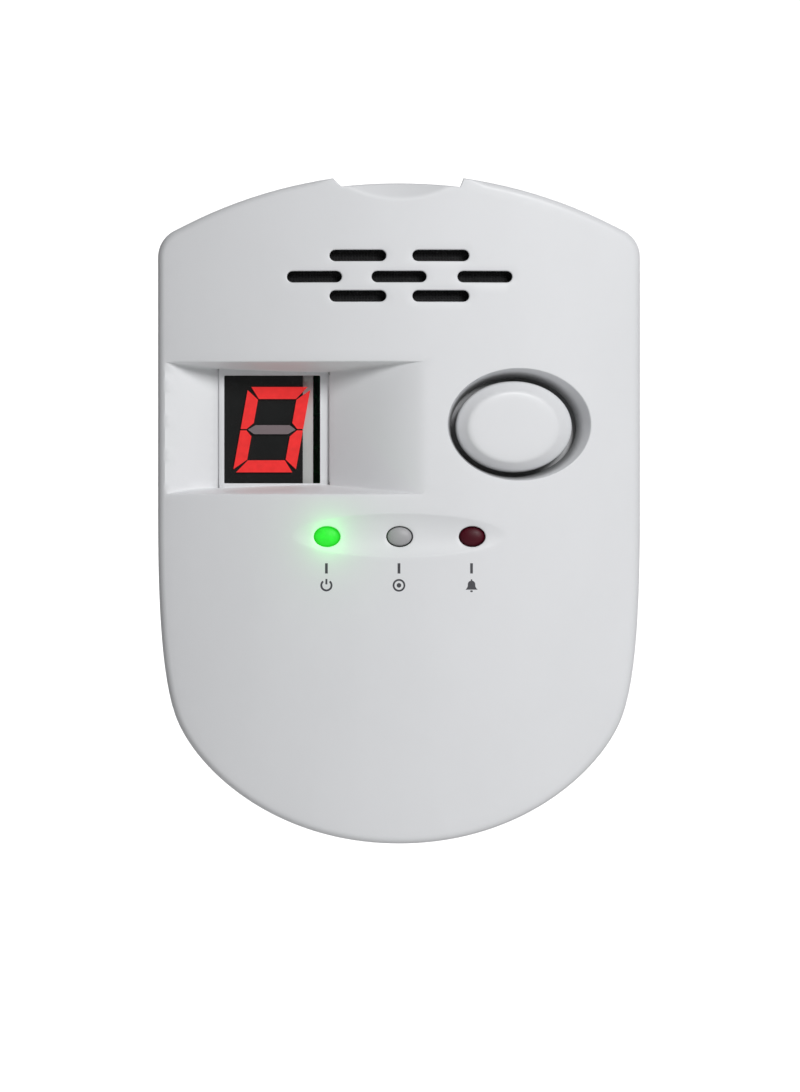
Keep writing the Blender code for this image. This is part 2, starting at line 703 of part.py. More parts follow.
def blade(side, x):
    """A flat plug blade with a chamfered tip, a hole near it, and a shoulder behind the cover's wall."""
    half_x, half_z = (size / 2 for size in BLADE_SIZE)
    tip = outline_solid(
        f"{side}_blade", chamfered_blade(half_z), half_x, -half_x, "nickel_brass"
    )
    tip.data.transform(Matrix.Translation((x, 0, 0)) @ Matrix.Rotation(math.radians(90), 4, "Z"))
    shoulder_y = (BACK_Y - WALL - GAP, CARRIER_Y[1] + GAP)
    shoulder = box(f"{side}_shoulder", (x - 0.0018, x + 0.0018), (shoulder_y[1], shoulder_y[0]), (-0.0045, 0.0045))
    combine(tip, [shoulder], "UNION")
    hole = rod(f"{side}_blade_hole", 0, 0, 0.0016, 0.002, -0.002, sides=12)
    hole.matrix_world = Matrix.Translation((x, BLADE_LENGTH - 0.0043, 0)) @ Matrix.Rotation(math.radians(90), 4, "Z")
    return combine(tip, [hole])


def chamfered_blade(half_z):
    """A blade's outline along its length: its tail behind the wall at negative x, its chamfered tip at positive x."""
    tip = 0.0012
    tail_x = BLADE_TAIL_Y
    corners = [(tail_x, -half_z), (BLADE_LENGTH - tip, -half_z), (BLADE_LENGTH, -half_z + tip)]
    return corners + [(x, -z) for x, z in reversed(corners)]


def blade_carrier():
    half_x, half_z = (size / 2 for size in CARRIER_SIZE)
    corners = rounded_box(0, 0, half_x, half_z, 0.002)
    body = outline_solid("blade_carrier", corners, CARRIER_Y[1], CARRIER_Y[0], "black_plastic")
    blade_x, blade_z = (size / 2 + GAP for size in BLADE_SIZE)
    cuts = [
        box(f"{side}_carrier_slot", (x - blade_x, x + blade_x), (-0.02, 0.0), (-blade_z, blade_z))
        for side, x in (("left", -BLADE_X), ("right", BLADE_X))
    ]
    for i, (x, z) in enumerate(CARRIER_SCREWS):
        cuts.append(rod(f"carrier_way_{i}", x, z, CARRIER_SCREW_RADIUS + GAP, 0.0, -0.02, sides=12))
    return combine(body, cuts)


def screw(name, x, z, head_y, head_height, head_radius, shaft_radius, shaft_end_y, towards_front):
    """A pan-head screw with a cross cut in its head. Its head sits at head_y, and its shaft runs to shaft_end_y."""
    length = abs(shaft_end_y - head_y)
    rim = head_height * 0.45
    profile = [
        (0, head_height),
        (head_radius * 0.75, head_height * 0.85),
        (head_radius, rim),
        (head_radius, 0),
        (shaft_radius, 0),
        (shaft_radius, -length + shaft_radius),
        (0, -length),
    ]
    turn = -90 if towards_front else 90
    place = Matrix.Translation((x, head_y, z)) @ Matrix.Rotation(math.radians(turn), 4, "X")
    made = turned(name, profile, place, "steel", 14)
    top_y = head_y + (head_height if towards_front else -head_height)
    depth = head_height * 0.5
    outward = math.copysign(1, top_y - head_y)
    low, high = sorted((top_y - outward * depth, top_y + outward * 0.001))
    arm = head_radius * 0.55
    slot = head_radius * 0.13
    combine(made, [
        box(f"{name}_cross_a", (x - arm, x + arm), (low, high), (z - slot, z + slot)),
        box(f"{name}_cross_b", (x - slot, x + slot), (low, high), (z - arm, z + arm)),
    ])
    return made


def wire(name, points, radius, finish):
    """A round wire through points, its corners eased."""
    path = bezier(*points, 8) + [Vector(points[-1])]
    curve = bpy.data.curves.new(name, "CURVE")
    curve.dimensions = "3D"
    curve.bevel_depth = radius
    curve.bevel_resolution = 2
    curve.use_fill_caps = True
    spline = curve.splines.new("POLY")
    spline.points.add(len(path) - 1)
    for point, place in zip(spline.points, path):
        point.co = (*place, 1)
    curve.materials.append(material(finish))
    made = bpy.data.objects.new(name, curve)
    PARTS.objects.link(made)
    return made


# ---- Test button and its switch -----------------------------------------------------------------


def test_button():
    """An oval cap with a flange that holds it behind the collar, hollow behind, with a stem for the switch."""
    flange_top = -COLLAR_DEPTH - GAP
    flange_foot = flange_top - FLANGE_THICKNESS
    profile = [
        (0, BUTTON_PROUD),
        (BUTTON_FACE * 0.6, BUTTON_PROUD - 0.00003),
        (BUTTON_FACE - 0.0001, BUTTON_PROUD - 0.0001),
        (BUTTON_FACE + 0.0002, BUTTON_PROUD - 0.0003),
        (BUTTON_RIM - 0.0001, BUTTON_PROUD - 0.0018),
        (BUTTON_RIM, BUTTON_PROUD - 0.0021),
        (BUTTON_RIM, flange_top),
        (FLANGE_RADIUS, flange_top),
        (FLANGE_RADIUS, flange_foot),
        (BUTTON_HOLLOW, flange_foot),
        (BUTTON_HOLLOW, -BUTTON_SKIN),
        (0, -BUTTON_SKIN),
    ]
    cap = button_piece("test_button", profile, "button_white", 36)
    stem = rod("button_stem", BUTTON_X, BUTTON_Z, STEM_RADIUS, PLUNGER_TIP_Y - GAP, front_y(BUTTON_X) + 0.001)
    combine(cap, [stem], "UNION")
    return origin_at(as_mesh(cap), (BUTTON_X, front_y(BUTTON_X), BUTTON_Z))


def switch():
    """A push switch on the board behind the button: its body, and the plunger that slides in it."""
    half = SWITCH_SIDE / 2
    top_y = ON_BOARD - SWITCH_HEIGHT
    sides = (BUTTON_X - half, BUTTON_X + half), (top_y, ON_BOARD), (BUTTON_Z - half, BUTTON_Z + half)
    body = box("switch_body", *sides, "black_plastic")
    bore = rod("switch_bore", BUTTON_X, BUTTON_Z, PLUNGER_RADIUS + GAP, top_y + 0.0022, top_y - 0.001)
    combine(body, [bore])
    ends = (top_y + 0.0005, PLUNGER_TIP_Y)
    plunger = rod("switch_plunger", BUTTON_X, BUTTON_Z, PLUNGER_RADIUS, *ends, "black_plastic")
    origin_at(plunger, (BUTTON_X, PLUNGER_TIP_Y, BUTTON_Z))


# ---- Lamps --------------------------------------------------------------------------------------


def lamp(name, x, finish):
    """A lamp behind its hole, on a spacer that stands on the board, with two leads down through the spacer."""
    tip_y = front_y(x) + LAMP_TIP_DEPTH
    length = LAMP_BASE_Y - tip_y
    dome = [(LAMP_RADIUS * math.sin(a), length - LAMP_RADIUS * (1 - math.cos(a)) * 0.5) for a in LAMP_ARC]
    profile = dome + [(LAMP_RADIUS, 0.0010), (LAMP_RADIUS + 0.0004, 0.0010), (LAMP_RADIUS + 0.0004, 0), (0, 0)]
    turned(f"{name}_led", profile, along_y(x, LAMP_BASE_Y, LAMP_Z), finish, 24, LAMP_OVAL)
    spacer = rod(f"{name}_led_spacer", x, LAMP_Z, SPACER_RADIUS, ON_BOARD, LAMP_BASE_Y + GAP, "black_plastic", 20)
    holes = []
    for side, lead_x in (("left", x - LEAD_SPREAD), ("right", x + LEAD_SPREAD)):
        lead = (lead_x, LAMP_Z, LEAD_RADIUS, ON_BOARD, LAMP_BASE_Y + GAP)
        rod(f"{name}_led_{side}_lead", *lead, "steel", 8)
        holes.append(rod(f"{name}_{side}_lead_hole", lead_x, LAMP_Z, LEAD_RADIUS + GAP, -0.016, -0.031, sides=8))
    combine(spacer, holes)


# ---- Display ------------------------------------------------------------------------------------


def display_module():
    back_y = DISPLAY_FACE_Y + DISPLAY_DEPTH
    body = box("display_module", DISPLAY_X, (DISPLAY_FACE_Y, back_y), DISPLAY_Z, "display_grey")
    half = 0.00025
    pins = []
    for i in range(5):
        x = sum(DISPLAY_X) / 2 + (i - 2) * 0.00254
        for j, z in enumerate((DISPLAY_Z[0] + 0.0019, DISPLAY_Z[1] - 0.0019)):
            ends = (x - half, x + half), (back_y - 0.001, ON_BOARD), (z - half, z + half)
            pins.append(box(f"display_pin_{i}_{j}", *ends))
    combine(body, pins, "UNION")
    film_y = DISPLAY_FACE_Y - GAP
    box("display_face", FILM_X, (film_y - FILM_THICKNESS, film_y), DISPLAY_Z, "display_black")


def segment(name, outline, finish):
    """A display segment from its outline about the digit's middle, before the digit's slant."""
    middle_x, middle_z = DIGIT_CENTRE
    slanted = [Vector((middle_x + x + z * DIGIT_SLANT, middle_z + z)) for x, z in outline]
    back_y = DISPLAY_FACE_Y - 2 * GAP - FILM_THICKNESS
    return outline_solid(f"segment_{name}", slanted, back_y, back_y - SEGMENT_THICKNESS, finish)


def digit():
    """Seven segments, mitred at the digit's corners. All but the middle one are lit, so it reads as a nought."""
    x, z, width, gap = DIGIT_WIDTH / 2, DIGIT_HEIGHT / 2, SEGMENT_WIDTH, SEGMENT_GAP
    cut = 0.0004  # how much is taken off each outer corner
    top = [(cut - x + gap, z), (x - cut - gap, z), (x - width - gap, z - width), (width - x + gap, z - width)]
    side = [
        (x, z - cut - gap),
        (x - width, z - width - gap),
        (x - width, width / 2 + gap),
        (x - width / 2, gap),
        (x, gap),
    ]
    half = MIDDLE_SEGMENT_WIDTH / 2
    tip, shoulder = x - width / 2 - 2 * gap, x - width - half / 2
    middle = [(tip, 0), (shoulder, half), (-shoulder, half), (-tip, 0), (-shoulder, -half), (shoulder, -half)]
    flips = {"a": (1, 1), "d": (1, -1)}
    for name, (across, down) in flips.items():
        segment(name, [(px * across, pz * down) for px, pz in top], "segment_lit")
    flips = {"b": (1, 1), "c": (1, -1), "e": (-1, -1), "f": (-1, 1)}
    for name, (across, down) in flips.items():
        segment(name, [(px * across, pz * down) for px, pz in side], "segment_lit")
    segment("g", middle, "segment_unlit")


# ---- Board and what stands on it ----------------------------------------------------------------


def main_board():
    corners = rounded_box(0, sum(BOARD_Z) / 2, BOARD_HALF_WIDTH, (BOARD_Z[1] - BOARD_Z[0]) / 2, 0.0015)
    board = outline_solid("main_board", corners, BOARD_BACK_Y, BOARD_FRONT_Y, "board_green")
    holes = []
    for i, (x, z) in enumerate(BOARD_SCREWS):
        holes.append(rod(f"board_hole_{i}", x, z, BOARD_SCREW_RADIUS + GAP, -0.01, -0.02, sides=12))
    return combine(board, holes)


def sensor():
    """A gas cell behind the slots: base, metal can, and the gauze its gas comes in by."""
    x, z = SENSOR_AT
    base_top = ON_BOARD - 0.0025
    rod("sensor_base", x, z, SENSOR_RADIUS, ON_BOARD, base_top, "black_plastic", 28)
    can_foot = base_top - GAP
    can = rod("sensor_can", x, z, SENSOR_RADIUS - 0.0008, can_foot, SENSOR_TIP_Y, "steel", 28)
    well = rod("sensor_well", x, z, SENSOR_MOUTH, SENSOR_TIP_Y + 0.0012, SENSOR_TIP_Y - 0.001, sides=28)
    combine(can, [well])
    rod("sensor_gauze", x, z, SENSOR_MOUTH - GAP, SENSOR_TIP_Y + 0.0009, SENSOR_TIP_Y + 0.0004, "steel", 28)


def buzzer():
    x, z = BUZZER_AT
    body = rod("buzzer", x, z, BUZZER_RADIUS, ON_BOARD, BUZZER_TIP_Y, "black_plastic", 36)
    bevel = rounded(body, 0.0008, 1)
    bevel.angle_limit = math.radians(60)
    mouth = rod("buzzer_mouth", x, z, 0.0020, BUZZER_TIP_Y + 0.003, BUZZER_TIP_Y - 0.001, sides=24)
    return combine(body, [mouth])


def capacitor(name, x, z, radius, height, finish):
    """A can with a rolled groove near its foot and a scored, slightly sunk top."""
    profile = [
        (0, height - 0.0003),
        (radius * 0.82, height - 0.0003),
        (radius * 0.86, height),
        (radius, height - 0.0003),
        (radius, 0.0026),
        (radius * 0.93, 0.0019),
        (radius, 0.0012),
        (radius, 0),
        (0, 0),
    ]
    return turned(name, profile, along_y(x, ON_BOARD, z), finish, 20)


def transformer():
    x, z = TRANSFORMER_AT
    foot, top = ON_BOARD, ON_BOARD - 0.0130
    core = box("transformer_core", (x - 0.0080, x + 0.0080), (top, foot), (z - 0.0035, z + 0.0035), "ferrite")
    windows = [
        box(f"core_window_{i}", (x + low, x + low + 0.0034), (top + 0.0021, foot - 0.0021), (z - 0.005, z + 0.005))
        for i, low in enumerate((-0.0059, 0.0025))
    ]
    combine(core, windows)
    wound = (top + 0.0024, foot - 0.0024)
    winding = box("transformer_winding", (x - 0.0056, x + 0.0056), wound, (z - 0.0065, z + 0.0065), "yellow_film")
    rounded(winding, 0.0006, 2)
    leg = box("winding_leg", (x - 0.0028, x + 0.0028), (top, foot), (z - 0.0038, z + 0.0038))
    combine(winding, [leg])


def fuse():
    """A glass fuse, lying along x, as one turned piece: a tube between two wider caps."""
    radius, half = 0.0024, 0.0100
    profile = [(0, half), (radius, half), (radius, half - 0.0045), (radius - 0.0003, half - 0.0045)]
    profile += [(r, -h) for r, h in reversed(profile)]
    place = Matrix.Translation((0, ON_BOARD - radius, FUSE_Z)) @ Matrix.Rotation(math.radians(90), 4, "Y")
    turned("fuse", profile, place, "glass", 16)


def film_capacitor():
    size = (-0.0065, 0.0065), (ON_BOARD - 0.0110, ON_BOARD), (-0.0235, -0.0175)
    rounded(box("mains_film_capacitor", *size, "yellow_film"), 0.0006, 2)


def varistor():
    x, z = VARISTOR_AT
    disc = rod("varistor", 0, 0, 0.0045, 0.0017, -0.0017, "blue_ceramic", 20)
    disc.matrix_world = Matrix.Translation((x, ON_BOARD - 0.0060, z)) @ Matrix.Rotation(math.radians(90), 4, "X")
    rounded(disc, 0.0008, 1)
    half = 0.0003
    legs = []
    for i, leg_x in enumerate((x - 0.0025, x + 0.0025)):
        ends = (leg_x - half, leg_x + half), (ON_BOARD - 0.0050, ON_BOARD), (z - half, z + half)
        legs.append(box(f"varistor_leg_{i}", *ends))
    combine(disc, legs, "UNION")


def chip(name, x, z, size, rows, finish="black_plastic"):
    """A surface-mount chip with legs along its two sides."""
    width, height, depth = size
    top = ON_BOARD - depth
    sides = (x - width / 2, x + width / 2), (top, ON_BOARD - 0.0003), (z - height / 2, z + height / 2)
    body = box(name, *sides, finish)
    legs = []
    for i in range(rows):
        leg_z = z + (i - (rows - 1) / 2) * 0.00127
        for side in (-1, 1):
            ends = sorted((x + side * (width / 2 - 0.0003), x + side * (width / 2 + 0.0012)))
            leg = box(f"{name}_leg_{i}_{side}", ends, (ON_BOARD - 0.0008, ON_BOARD), (leg_z - 0.0002, leg_z + 0.0002))
            legs.append(leg)
    return combine(body, legs, "UNION")


def trim_potentiometer():
    x, z = TRIM_AT
    sides = (x - 0.0033, x + 0.0033), (ON_BOARD - 0.0048, ON_BOARD), (z - 0.0035, z + 0.0035)
    body = box("trim_potentiometer", *sides, "blue_ceramic")
    ring_cut = rod("trim_well", x, z, 0.0018, ON_BOARD - 0.0042, ON_BOARD - 0.006, sides=24)
    return combine(body, [ring_cut])


def dust_screen():
    """A thin curved pad that lines the wall behind the sound slots."""
    rings = []
    for i in range(13):
        x = SCREEN_HALF_WIDTH * (i / 6 - 1)
        near, far = front_y(x, WALL + GAP), front_y(x, WALL + GAP + SCREEN_THICKNESS)
        low, high = SCREEN_Z
        rings.append(((x, near, low), (x, far, low), (x, far, high), (x, near, high)))
    return loft("grille_dust_screen", rings, "black_plastic")


# ---- Assembly -----------------------------------------------------------------------------------

front_cover()
rear_cover()
rating_label()
blade_carrier()
for side, blade_x in (("left", -BLADE_X), ("right", BLADE_X)):
    blade(side, blade_x)
for i, (x, z) in enumerate(CARRIER_SCREWS):
    screw(f"carrier_screw_{i + 1}", x, z, CARRIER_Y[0] - GAP, 0.0014, 0.0021, CARRIER_SCREW_RADIUS, -0.0038, False)
for i, (x, z) in enumerate(HOUSING_SCREWS):
    screw(f"housing_screw_{i + 1}", x, z, SCREW_SEAT_Y + GAP, 0.0018, SCREW_HEAD_RADIUS, SCREW_RADIUS, -0.0205, True)
main_board()
for i, (x, z) in enumerate(BOARD_SCREWS):
    screw(f"board_screw_{i + 1}", x, z, BOARD_BACK_Y + GAP, 0.0014, 0.0022, BOARD_SCREW_RADIUS, -0.0225, True)
for name, x, finish in (("neutral", -BLADE_X, "blue_wire"), ("live", BLADE_X, "red_wire")):
    tail, end = (x, BLADE_TAIL_Y - GAP - 0.0001, 0), (x, BOARD_BACK_Y + GAP, WIRE_Z)
    route = (tail, (x, BLADE_TAIL_Y - 0.0035, 0), (x, BOARD_BACK_Y + 0.0055, WIRE_Z), end)
    wire(f"{name}_wire", route, WIRE_RADIUS, finish)
test_button()
switch()
for (name, x), finish in zip(LAMP_XS.items(), ("green_lamp", "grey_lamp", "red_lamp")):
    lamp(name, x, finish)
display_module()
digit()
dust_screen()
sensor()
buzzer()
chip("controller_chip", 0.0010, 0.0125, (0.0075, 0.0103, 0.0024), 7)
chip("voltage_regulator", -0.0255, -0.0030, (0.0040, 0.0060, 0.0017), 3)
transformer()
capacitor("smoothing_capacitor", -0.0160, -0.0200, 0.0050, 0.0130, "ferrite")
capacitor("output_capacitor", -0.0255, -0.0140, 0.0031, 0.0090, "ferrite")
film_capacitor()
fuse()
varistor()
trim_potentiometer()
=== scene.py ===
"""Looks of a plug-in carbon monoxide detector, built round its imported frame.

Metres, +Z up, the wall is y = 0 and the front faces -Y. Outlines are flat (x, z) points, seen from the front.
"""

import math

import bmesh
import bpy
import numpy as np
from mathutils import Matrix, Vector, kdtree
from mathutils.geometry import delaunay_2d_cdt


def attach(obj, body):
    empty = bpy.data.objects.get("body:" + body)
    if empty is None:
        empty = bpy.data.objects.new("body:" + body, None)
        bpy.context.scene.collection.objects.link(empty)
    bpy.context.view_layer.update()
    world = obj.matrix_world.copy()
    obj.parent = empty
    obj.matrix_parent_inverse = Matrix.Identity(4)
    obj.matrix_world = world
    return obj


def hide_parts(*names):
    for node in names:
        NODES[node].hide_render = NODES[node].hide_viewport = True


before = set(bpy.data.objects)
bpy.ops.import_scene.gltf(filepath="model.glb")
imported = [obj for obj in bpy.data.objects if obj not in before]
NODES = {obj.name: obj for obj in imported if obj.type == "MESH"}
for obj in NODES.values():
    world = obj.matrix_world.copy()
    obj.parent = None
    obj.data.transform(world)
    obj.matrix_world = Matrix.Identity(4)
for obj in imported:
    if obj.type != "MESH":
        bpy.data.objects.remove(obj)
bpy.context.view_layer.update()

# ---- Casing dimensions, as the CAD has them ----

HALF_WIDTH = 0.04036
TOP_RADIUS = 0.0792
TOP_INSET = 0.00005  # keeps the finer top edge inside the CAD's box
TOP_Z = 0.0563
CORNER_RADIUS = 0.00505
FOOT_Z = -0.0558
FOOT_HANDLE = 0.0209
KNEE = Vector((0.03743, -0.0344))
KNEE_LEAN = math.radians(20)
KNEE_HANDLES = (0.0094, 0.0078)
SIDE_START_Z = 0.0003
SIDE_HANDLE = 0.0121

APEX_Y = -0.03798  # a hair inside the CAD's crown, so that what is printed on it stays inside too
FRONT_RADIUS = 0.1140
FRONT_EDGE = 0.0012
FRONT_DRAFT = 0.015
DRAFT_END_Y = -0.045  # where the sides' draft is measured to, past the crown
SEAM_Y = -0.0140
GAP = 0.0003
WALL = 0.0020
LAMP_DISH_WALL = 0.0014
HOLLOW_WALL = 0.0016  # behind the scoop and the display recess
SEAM_CHAMFER = 0.0002
SEAM_GROOVE = 0.0010
BACK_Y = -0.0015
BACK_SCALE = 0.968  # of the outline at the back face, where the rounded edge begins
BACK_EDGE = 0.0022
INNER_SCALE = 0.972  # of the rear cover's inside, at its back wall

RECESS_TOP_Z = 0.02455
RECESS_FOOT_Z = 0.00265
RECESS_DRAFT = math.tan(math.radians(11))
RECESS_DEPTH = 0.0090
WINDOW_X = (-0.02906, -0.0131)
WINDOW_Z = (0.00446, 0.0224)
WINDOW_WALL = 0.0010
SEAT_X = (-0.0301, -0.0123)
SEAT_Z = (0.00363, 0.02323)
BACKING = 0.0013

BUTTON = Vector((0.0190, 0.0138))
OVAL = 1.28
HOLE_RADIUS = 0.00815
DISH_RADIUS = 0.0093
DISH_SHIFT = Vector((0.00096, 0.00038))
DISH_DEPTH = 0.0046
COLLAR_RADIUS = 0.0117
COLLAR_DEPTH = 0.0062
FLANGE_RADIUS = 0.0091
FLANGE_THICKNESS = 0.0014

LAMP_XS = {"power": -0.0119, "state": 0.0001, "alarm": 0.0121}
LAMP_Z = -0.0044
LAMP_RADIUS = 0.00158
LAMP_OVAL = 1.28
LAMP_HOLE_RADIUS = 0.00172
LAMP_BASE_Y = -0.0295
LAMP_TIP_DEPTH = 0.0004
LAMP_DISH = (0.0175, 0.0036)
LAMP_DISH_RISE = 0.0002  # of its middle over the lamps
LAMP_DISH_DEPTH = 0.0009
LAMP_DISH_BALL = 0.0060

SLOT_ROWS = (
    (0.0421, (-0.0068, 0.0069), 0.0094),
    (0.0386, (-0.0140, 0.0000, 0.0142), 0.0091),
    (0.0354, (-0.0068, 0.0069), 0.0094),
)
SLOT_HEIGHT = 0.0019

NOTCH_LEFT = (-0.0110, -0.0096)
NOTCH_RIGHT = (0.0108, 0.0102)
NOTCH_DEPTH = 0.0016
NOTCH_REACH = 0.0145  # half the width of the top edge that belongs to the notch
SCOOP_RADIUS = 0.0360
SCOOP_FOOT_Z = 0.0515
SCOOP_DEPTH = 0.0022
SCOOP_TOP_Z = 0.0543

HOUSING_SCREWS = ((-0.0338, 0.0360), (0.0338, 0.0360), (-0.0270, -0.0360), (0.0270, -0.0360))
BOSS = (0.0032, 0.0016, SEAM_Y, -0.0220)  # outer and inner radius, and y of the open end and the hole's end
BOARD_SCREWS = ((-0.0262, 0.0412), (0.0262, 0.0412), (-0.0262, -0.0275), (0.0262, -0.0275))
BOARD_POST = (0.0025, 0.0013, -0.0179, -0.0245)
CARRIER_SCREW_XS = (-0.0120, 0.0120)
CARRIER_POST = (0.0022, 0.0012, -0.0050, -0.0026)
INTO_FRONT = 0.0014  # how far under the front surface a boss or post ends, inside the wall
SCREW_WELL_RADIUS = 0.0029
SCREW_SEAT_Y = -0.0080
SCREW_TUBE = (0.0016, 0.0046)  # inner and outer radius
VENT_XS = (-0.0175, -0.0105, -0.0035, 0.0035, 0.0105, 0.0175)
VENT_Z = 0.0300
VENT_SIZE = (0.0140, 0.0018)
PLUG_PAD = (0.0180, 0.0150)
LABEL_Z = -0.0300
LABEL_HALF = (0.0150, 0.0090)
LABEL_RECESS = 0.0005
BLADE_X = 0.00635
BLADE_SLOT = (0.0009, 0.003325)

MM = 0.001


# ---- Flat outlines ----


def bezier(p0, p1, p2, p3, count):
    """count points along a cubic curve, from p0 up to but not including p3."""
    p0, p1, p2, p3 = (Vector(p) for p in (p0, p1, p2, p3))
    points = []
    for i in range(count):
        t = i / count
        s = 1 - t
        points.append(p0 * s**3 + p1 * 3 * s * s * t + p2 * 3 * s * t * t + p3 * t**3)
    return points


def arc(centre, radius, start, end, count):
    angles = [start + (end - start) * i / count for i in range(count + 1)]
    return [Vector((centre[0] + radius * math.cos(a), centre[1] + radius * math.sin(a))) for a in angles]


def spaced(points, step):
    """A closed outline with extra points, so that none of its sides is longer than step."""
    made = []
    for i, point in enumerate(points):
        ahead = points[(i + 1) % len(points)]
        parts = max(1, math.ceil((ahead - point).length / step))
        made += [point.lerp(ahead, k / parts) for k in range(parts)]
    return made


def casing_outline():
    """The casing from the front, anticlockwise from the middle of its foot, with its top notch."""
    lean = Vector((math.sin(KNEE_LEAN), math.cos(KNEE_LEAN)))
    lower = bezier((0, FOOT_Z), (FOOT_HANDLE, FOOT_Z), KNEE - lean * KNEE_HANDLES[0], KNEE, 40)
    side_end = (HALF_WIDTH, SIDE_START_Z)
    side_handle = (HALF_WIDTH, SIDE_START_Z - SIDE_HANDLE)
    upper = bezier(KNEE, KNEE + lean * KNEE_HANDLES[1], side_handle, side_end, 14)
    arc_z = TOP_Z - TOP_RADIUS
    corner_x = HALF_WIDTH - CORNER_RADIUS
    corner_z = arc_z + math.sqrt((TOP_RADIUS - CORNER_RADIUS) ** 2 - corner_x**2)
    turn = math.atan2(corner_z - arc_z, corner_x)
    corner = arc((corner_x, corner_z), CORNER_RADIUS, 0, turn, 12)
    side = lower + upper + [Vector(side_end)] + corner
    top_radius, foot_radius = TOP_RADIUS - TOP_INSET, TOP_RADIUS - NOTCH_DEPTH
    right_end, left_end = (math.acos(x / TOP_RADIUS) for x in (NOTCH_RIGHT[0], NOTCH_LEFT[0]))
    right_top = arc((0, arc_z), top_radius, turn, right_end, 12)[1:]
    left_top = arc((0, arc_z), top_radius, left_end, math.pi - turn, 12)[:-1]
    right_foot, left_foot = (math.acos(x / foot_radius) for x in (NOTCH_RIGHT[1], NOTCH_LEFT[1]))
    foot = arc((0, arc_z), foot_radius, right_foot, left_foot, 20)
    left = [Vector((-p.x, p.y)) for p in reversed(side[1:])]
    return spaced(side + right_top + foot + left_top + left, 0.0012)


def normals(outline):
    """The outward direction at each point of an anticlockwise outline."""
    found = []
    for i in range(len(outline)):
        run = (outline[(i + 1) % len(outline)] - outline[i - 1]).normalized()
        found.append(Vector((run.y, -run.x)))
    return found


def stadium(x, z, length, height, upright=False):
    """A slot with round ends."""
    reach = (length - height) / 2
    points = arc((reach, 0), height / 2, -math.pi / 2, math.pi / 2, 8)
    points += arc((-reach, 0), height / 2, math.pi / 2, 3 * math.pi / 2, 8)
    if upright:
        points = [Vector((-p.y, p.x)) for p in points]
    return spaced([Vector((x, z)) + p for p in points], 0.0007)


def rounded_box(x, z, half_x, half_z, radius, step=0.0012):
    """A box about (x, z) with round corners."""
    points = []
    for i, (side_x, side_z) in enumerate(((1, 1), (-1, 1), (-1, -1), (1, -1))):
        corner = (x + side_x * (half_x - radius), z + side_z * (half_z - radius))
        points += arc(corner, radius, i * math.pi / 2, (i + 1) * math.pi / 2, 5)
    return spaced(points, step)


# ---- The curved front ----


def crown(x):
    """y of the plain curved front at x."""
    return APEX_Y + FRONT_RADIUS - math.sqrt(FRONT_RADIUS**2 - x**2)


def floor_line():
    """(x, y) along the floor of the display recess, left to right, with its ridge and its step eased."""
    left = bezier((-0.0395, 0.0061), (-0.0372, 0.0077), (-0.0335, 0.0090), (-0.0301, 0.0094), 12)
    right = bezier((-0.0115, 0.0082), (-0.0066, 0.0048), (-0.0005, 0.0004), (0.0052, -0.0001), 24)[1:-1]
    ridge = [(-0.0301, 0.0094), (-0.03002, 0.00938), (-0.02993, 0.00905), (-0.02985, 0.0090)]
    step = [(-0.01175, 0.0090), (-0.01166, 0.00895), (-0.01155, 0.00825), (-0.01145, 0.00815)]
    points = left + [Vector(p) for p in ridge + step] + right
    return [(p.x, APEX_Y + p.y) for p in points]


FLOOR = np.array(floor_line())


def recess_floor(x):
    """y of the recess's floor. Where it runs out into the front on the right, it does so without an edge."""
    y = float(np.interp(x, FLOOR[:, 0], FLOOR[:, 1]))
    if x > -0.0085:
        y = crown(x) + eased(y - crown(x), 0.00024)
    return y


def eased(value, width):
    """value where it is above zero and 0 below, with the corner rounded over width."""
    if value <= -width:
        return 0.0
    if value >= width:
        return value
    return (value + width) ** 2 / (4 * width)


def dish_share(x, z):
    """How far out (x, z) is in the button's dish: 0 at its foot, the button's hole, and 1 at its rim."""
    across, up = (x - BUTTON.x) / OVAL, z - BUTTON.y
    shift_x, shift_z = DISH_SHIFT.x / OVAL, DISH_SHIFT.y
    wider = DISH_RADIUS - HOLE_RADIUS
    a = wider**2 - shift_x**2 - shift_z**2
    b = HOLE_RADIUS * wider + across * shift_x + up * shift_z
    c = HOLE_RADIUS**2 - across**2 - up**2
    return (-b + math.sqrt(max(b * b - a * c, 0))) / a


def dish_drop(x, z):
    """How deep the button's dish is."""
    if abs(x - BUTTON.x) > 0.016 or abs(z - BUTTON.y) > 0.013:
        return 0.0
    return eased(DISH_DEPTH * (1 - dish_share(x, z)), 0.00022)


def dish_ring(share):
    """A line round the button's dish where dish_share is share."""
    radius = HOLE_RADIUS + (DISH_RADIUS - HOLE_RADIUS) * share
    return ellipse_ring(BUTTON + DISH_SHIFT * share, radius, OVAL, 144, 0.5)


def lamp_dish_drop(x, z):
    """How deep the lamps' dish is, as the cap of a stretched ball."""
    width, height = LAMP_DISH
    cut = 1 - (1 - LAMP_DISH_DEPTH / LAMP_DISH_BALL) ** 2
    square = (x / width) ** 2 + ((z - LAMP_Z - LAMP_DISH_RISE) / height) ** 2
    if square * cut > 0.9:
        return 0.0
    ball = LAMP_DISH_BALL * math.sqrt(1 - square * cut) - (LAMP_DISH_BALL - LAMP_DISH_DEPTH)
    return eased(ball, 0.00008)


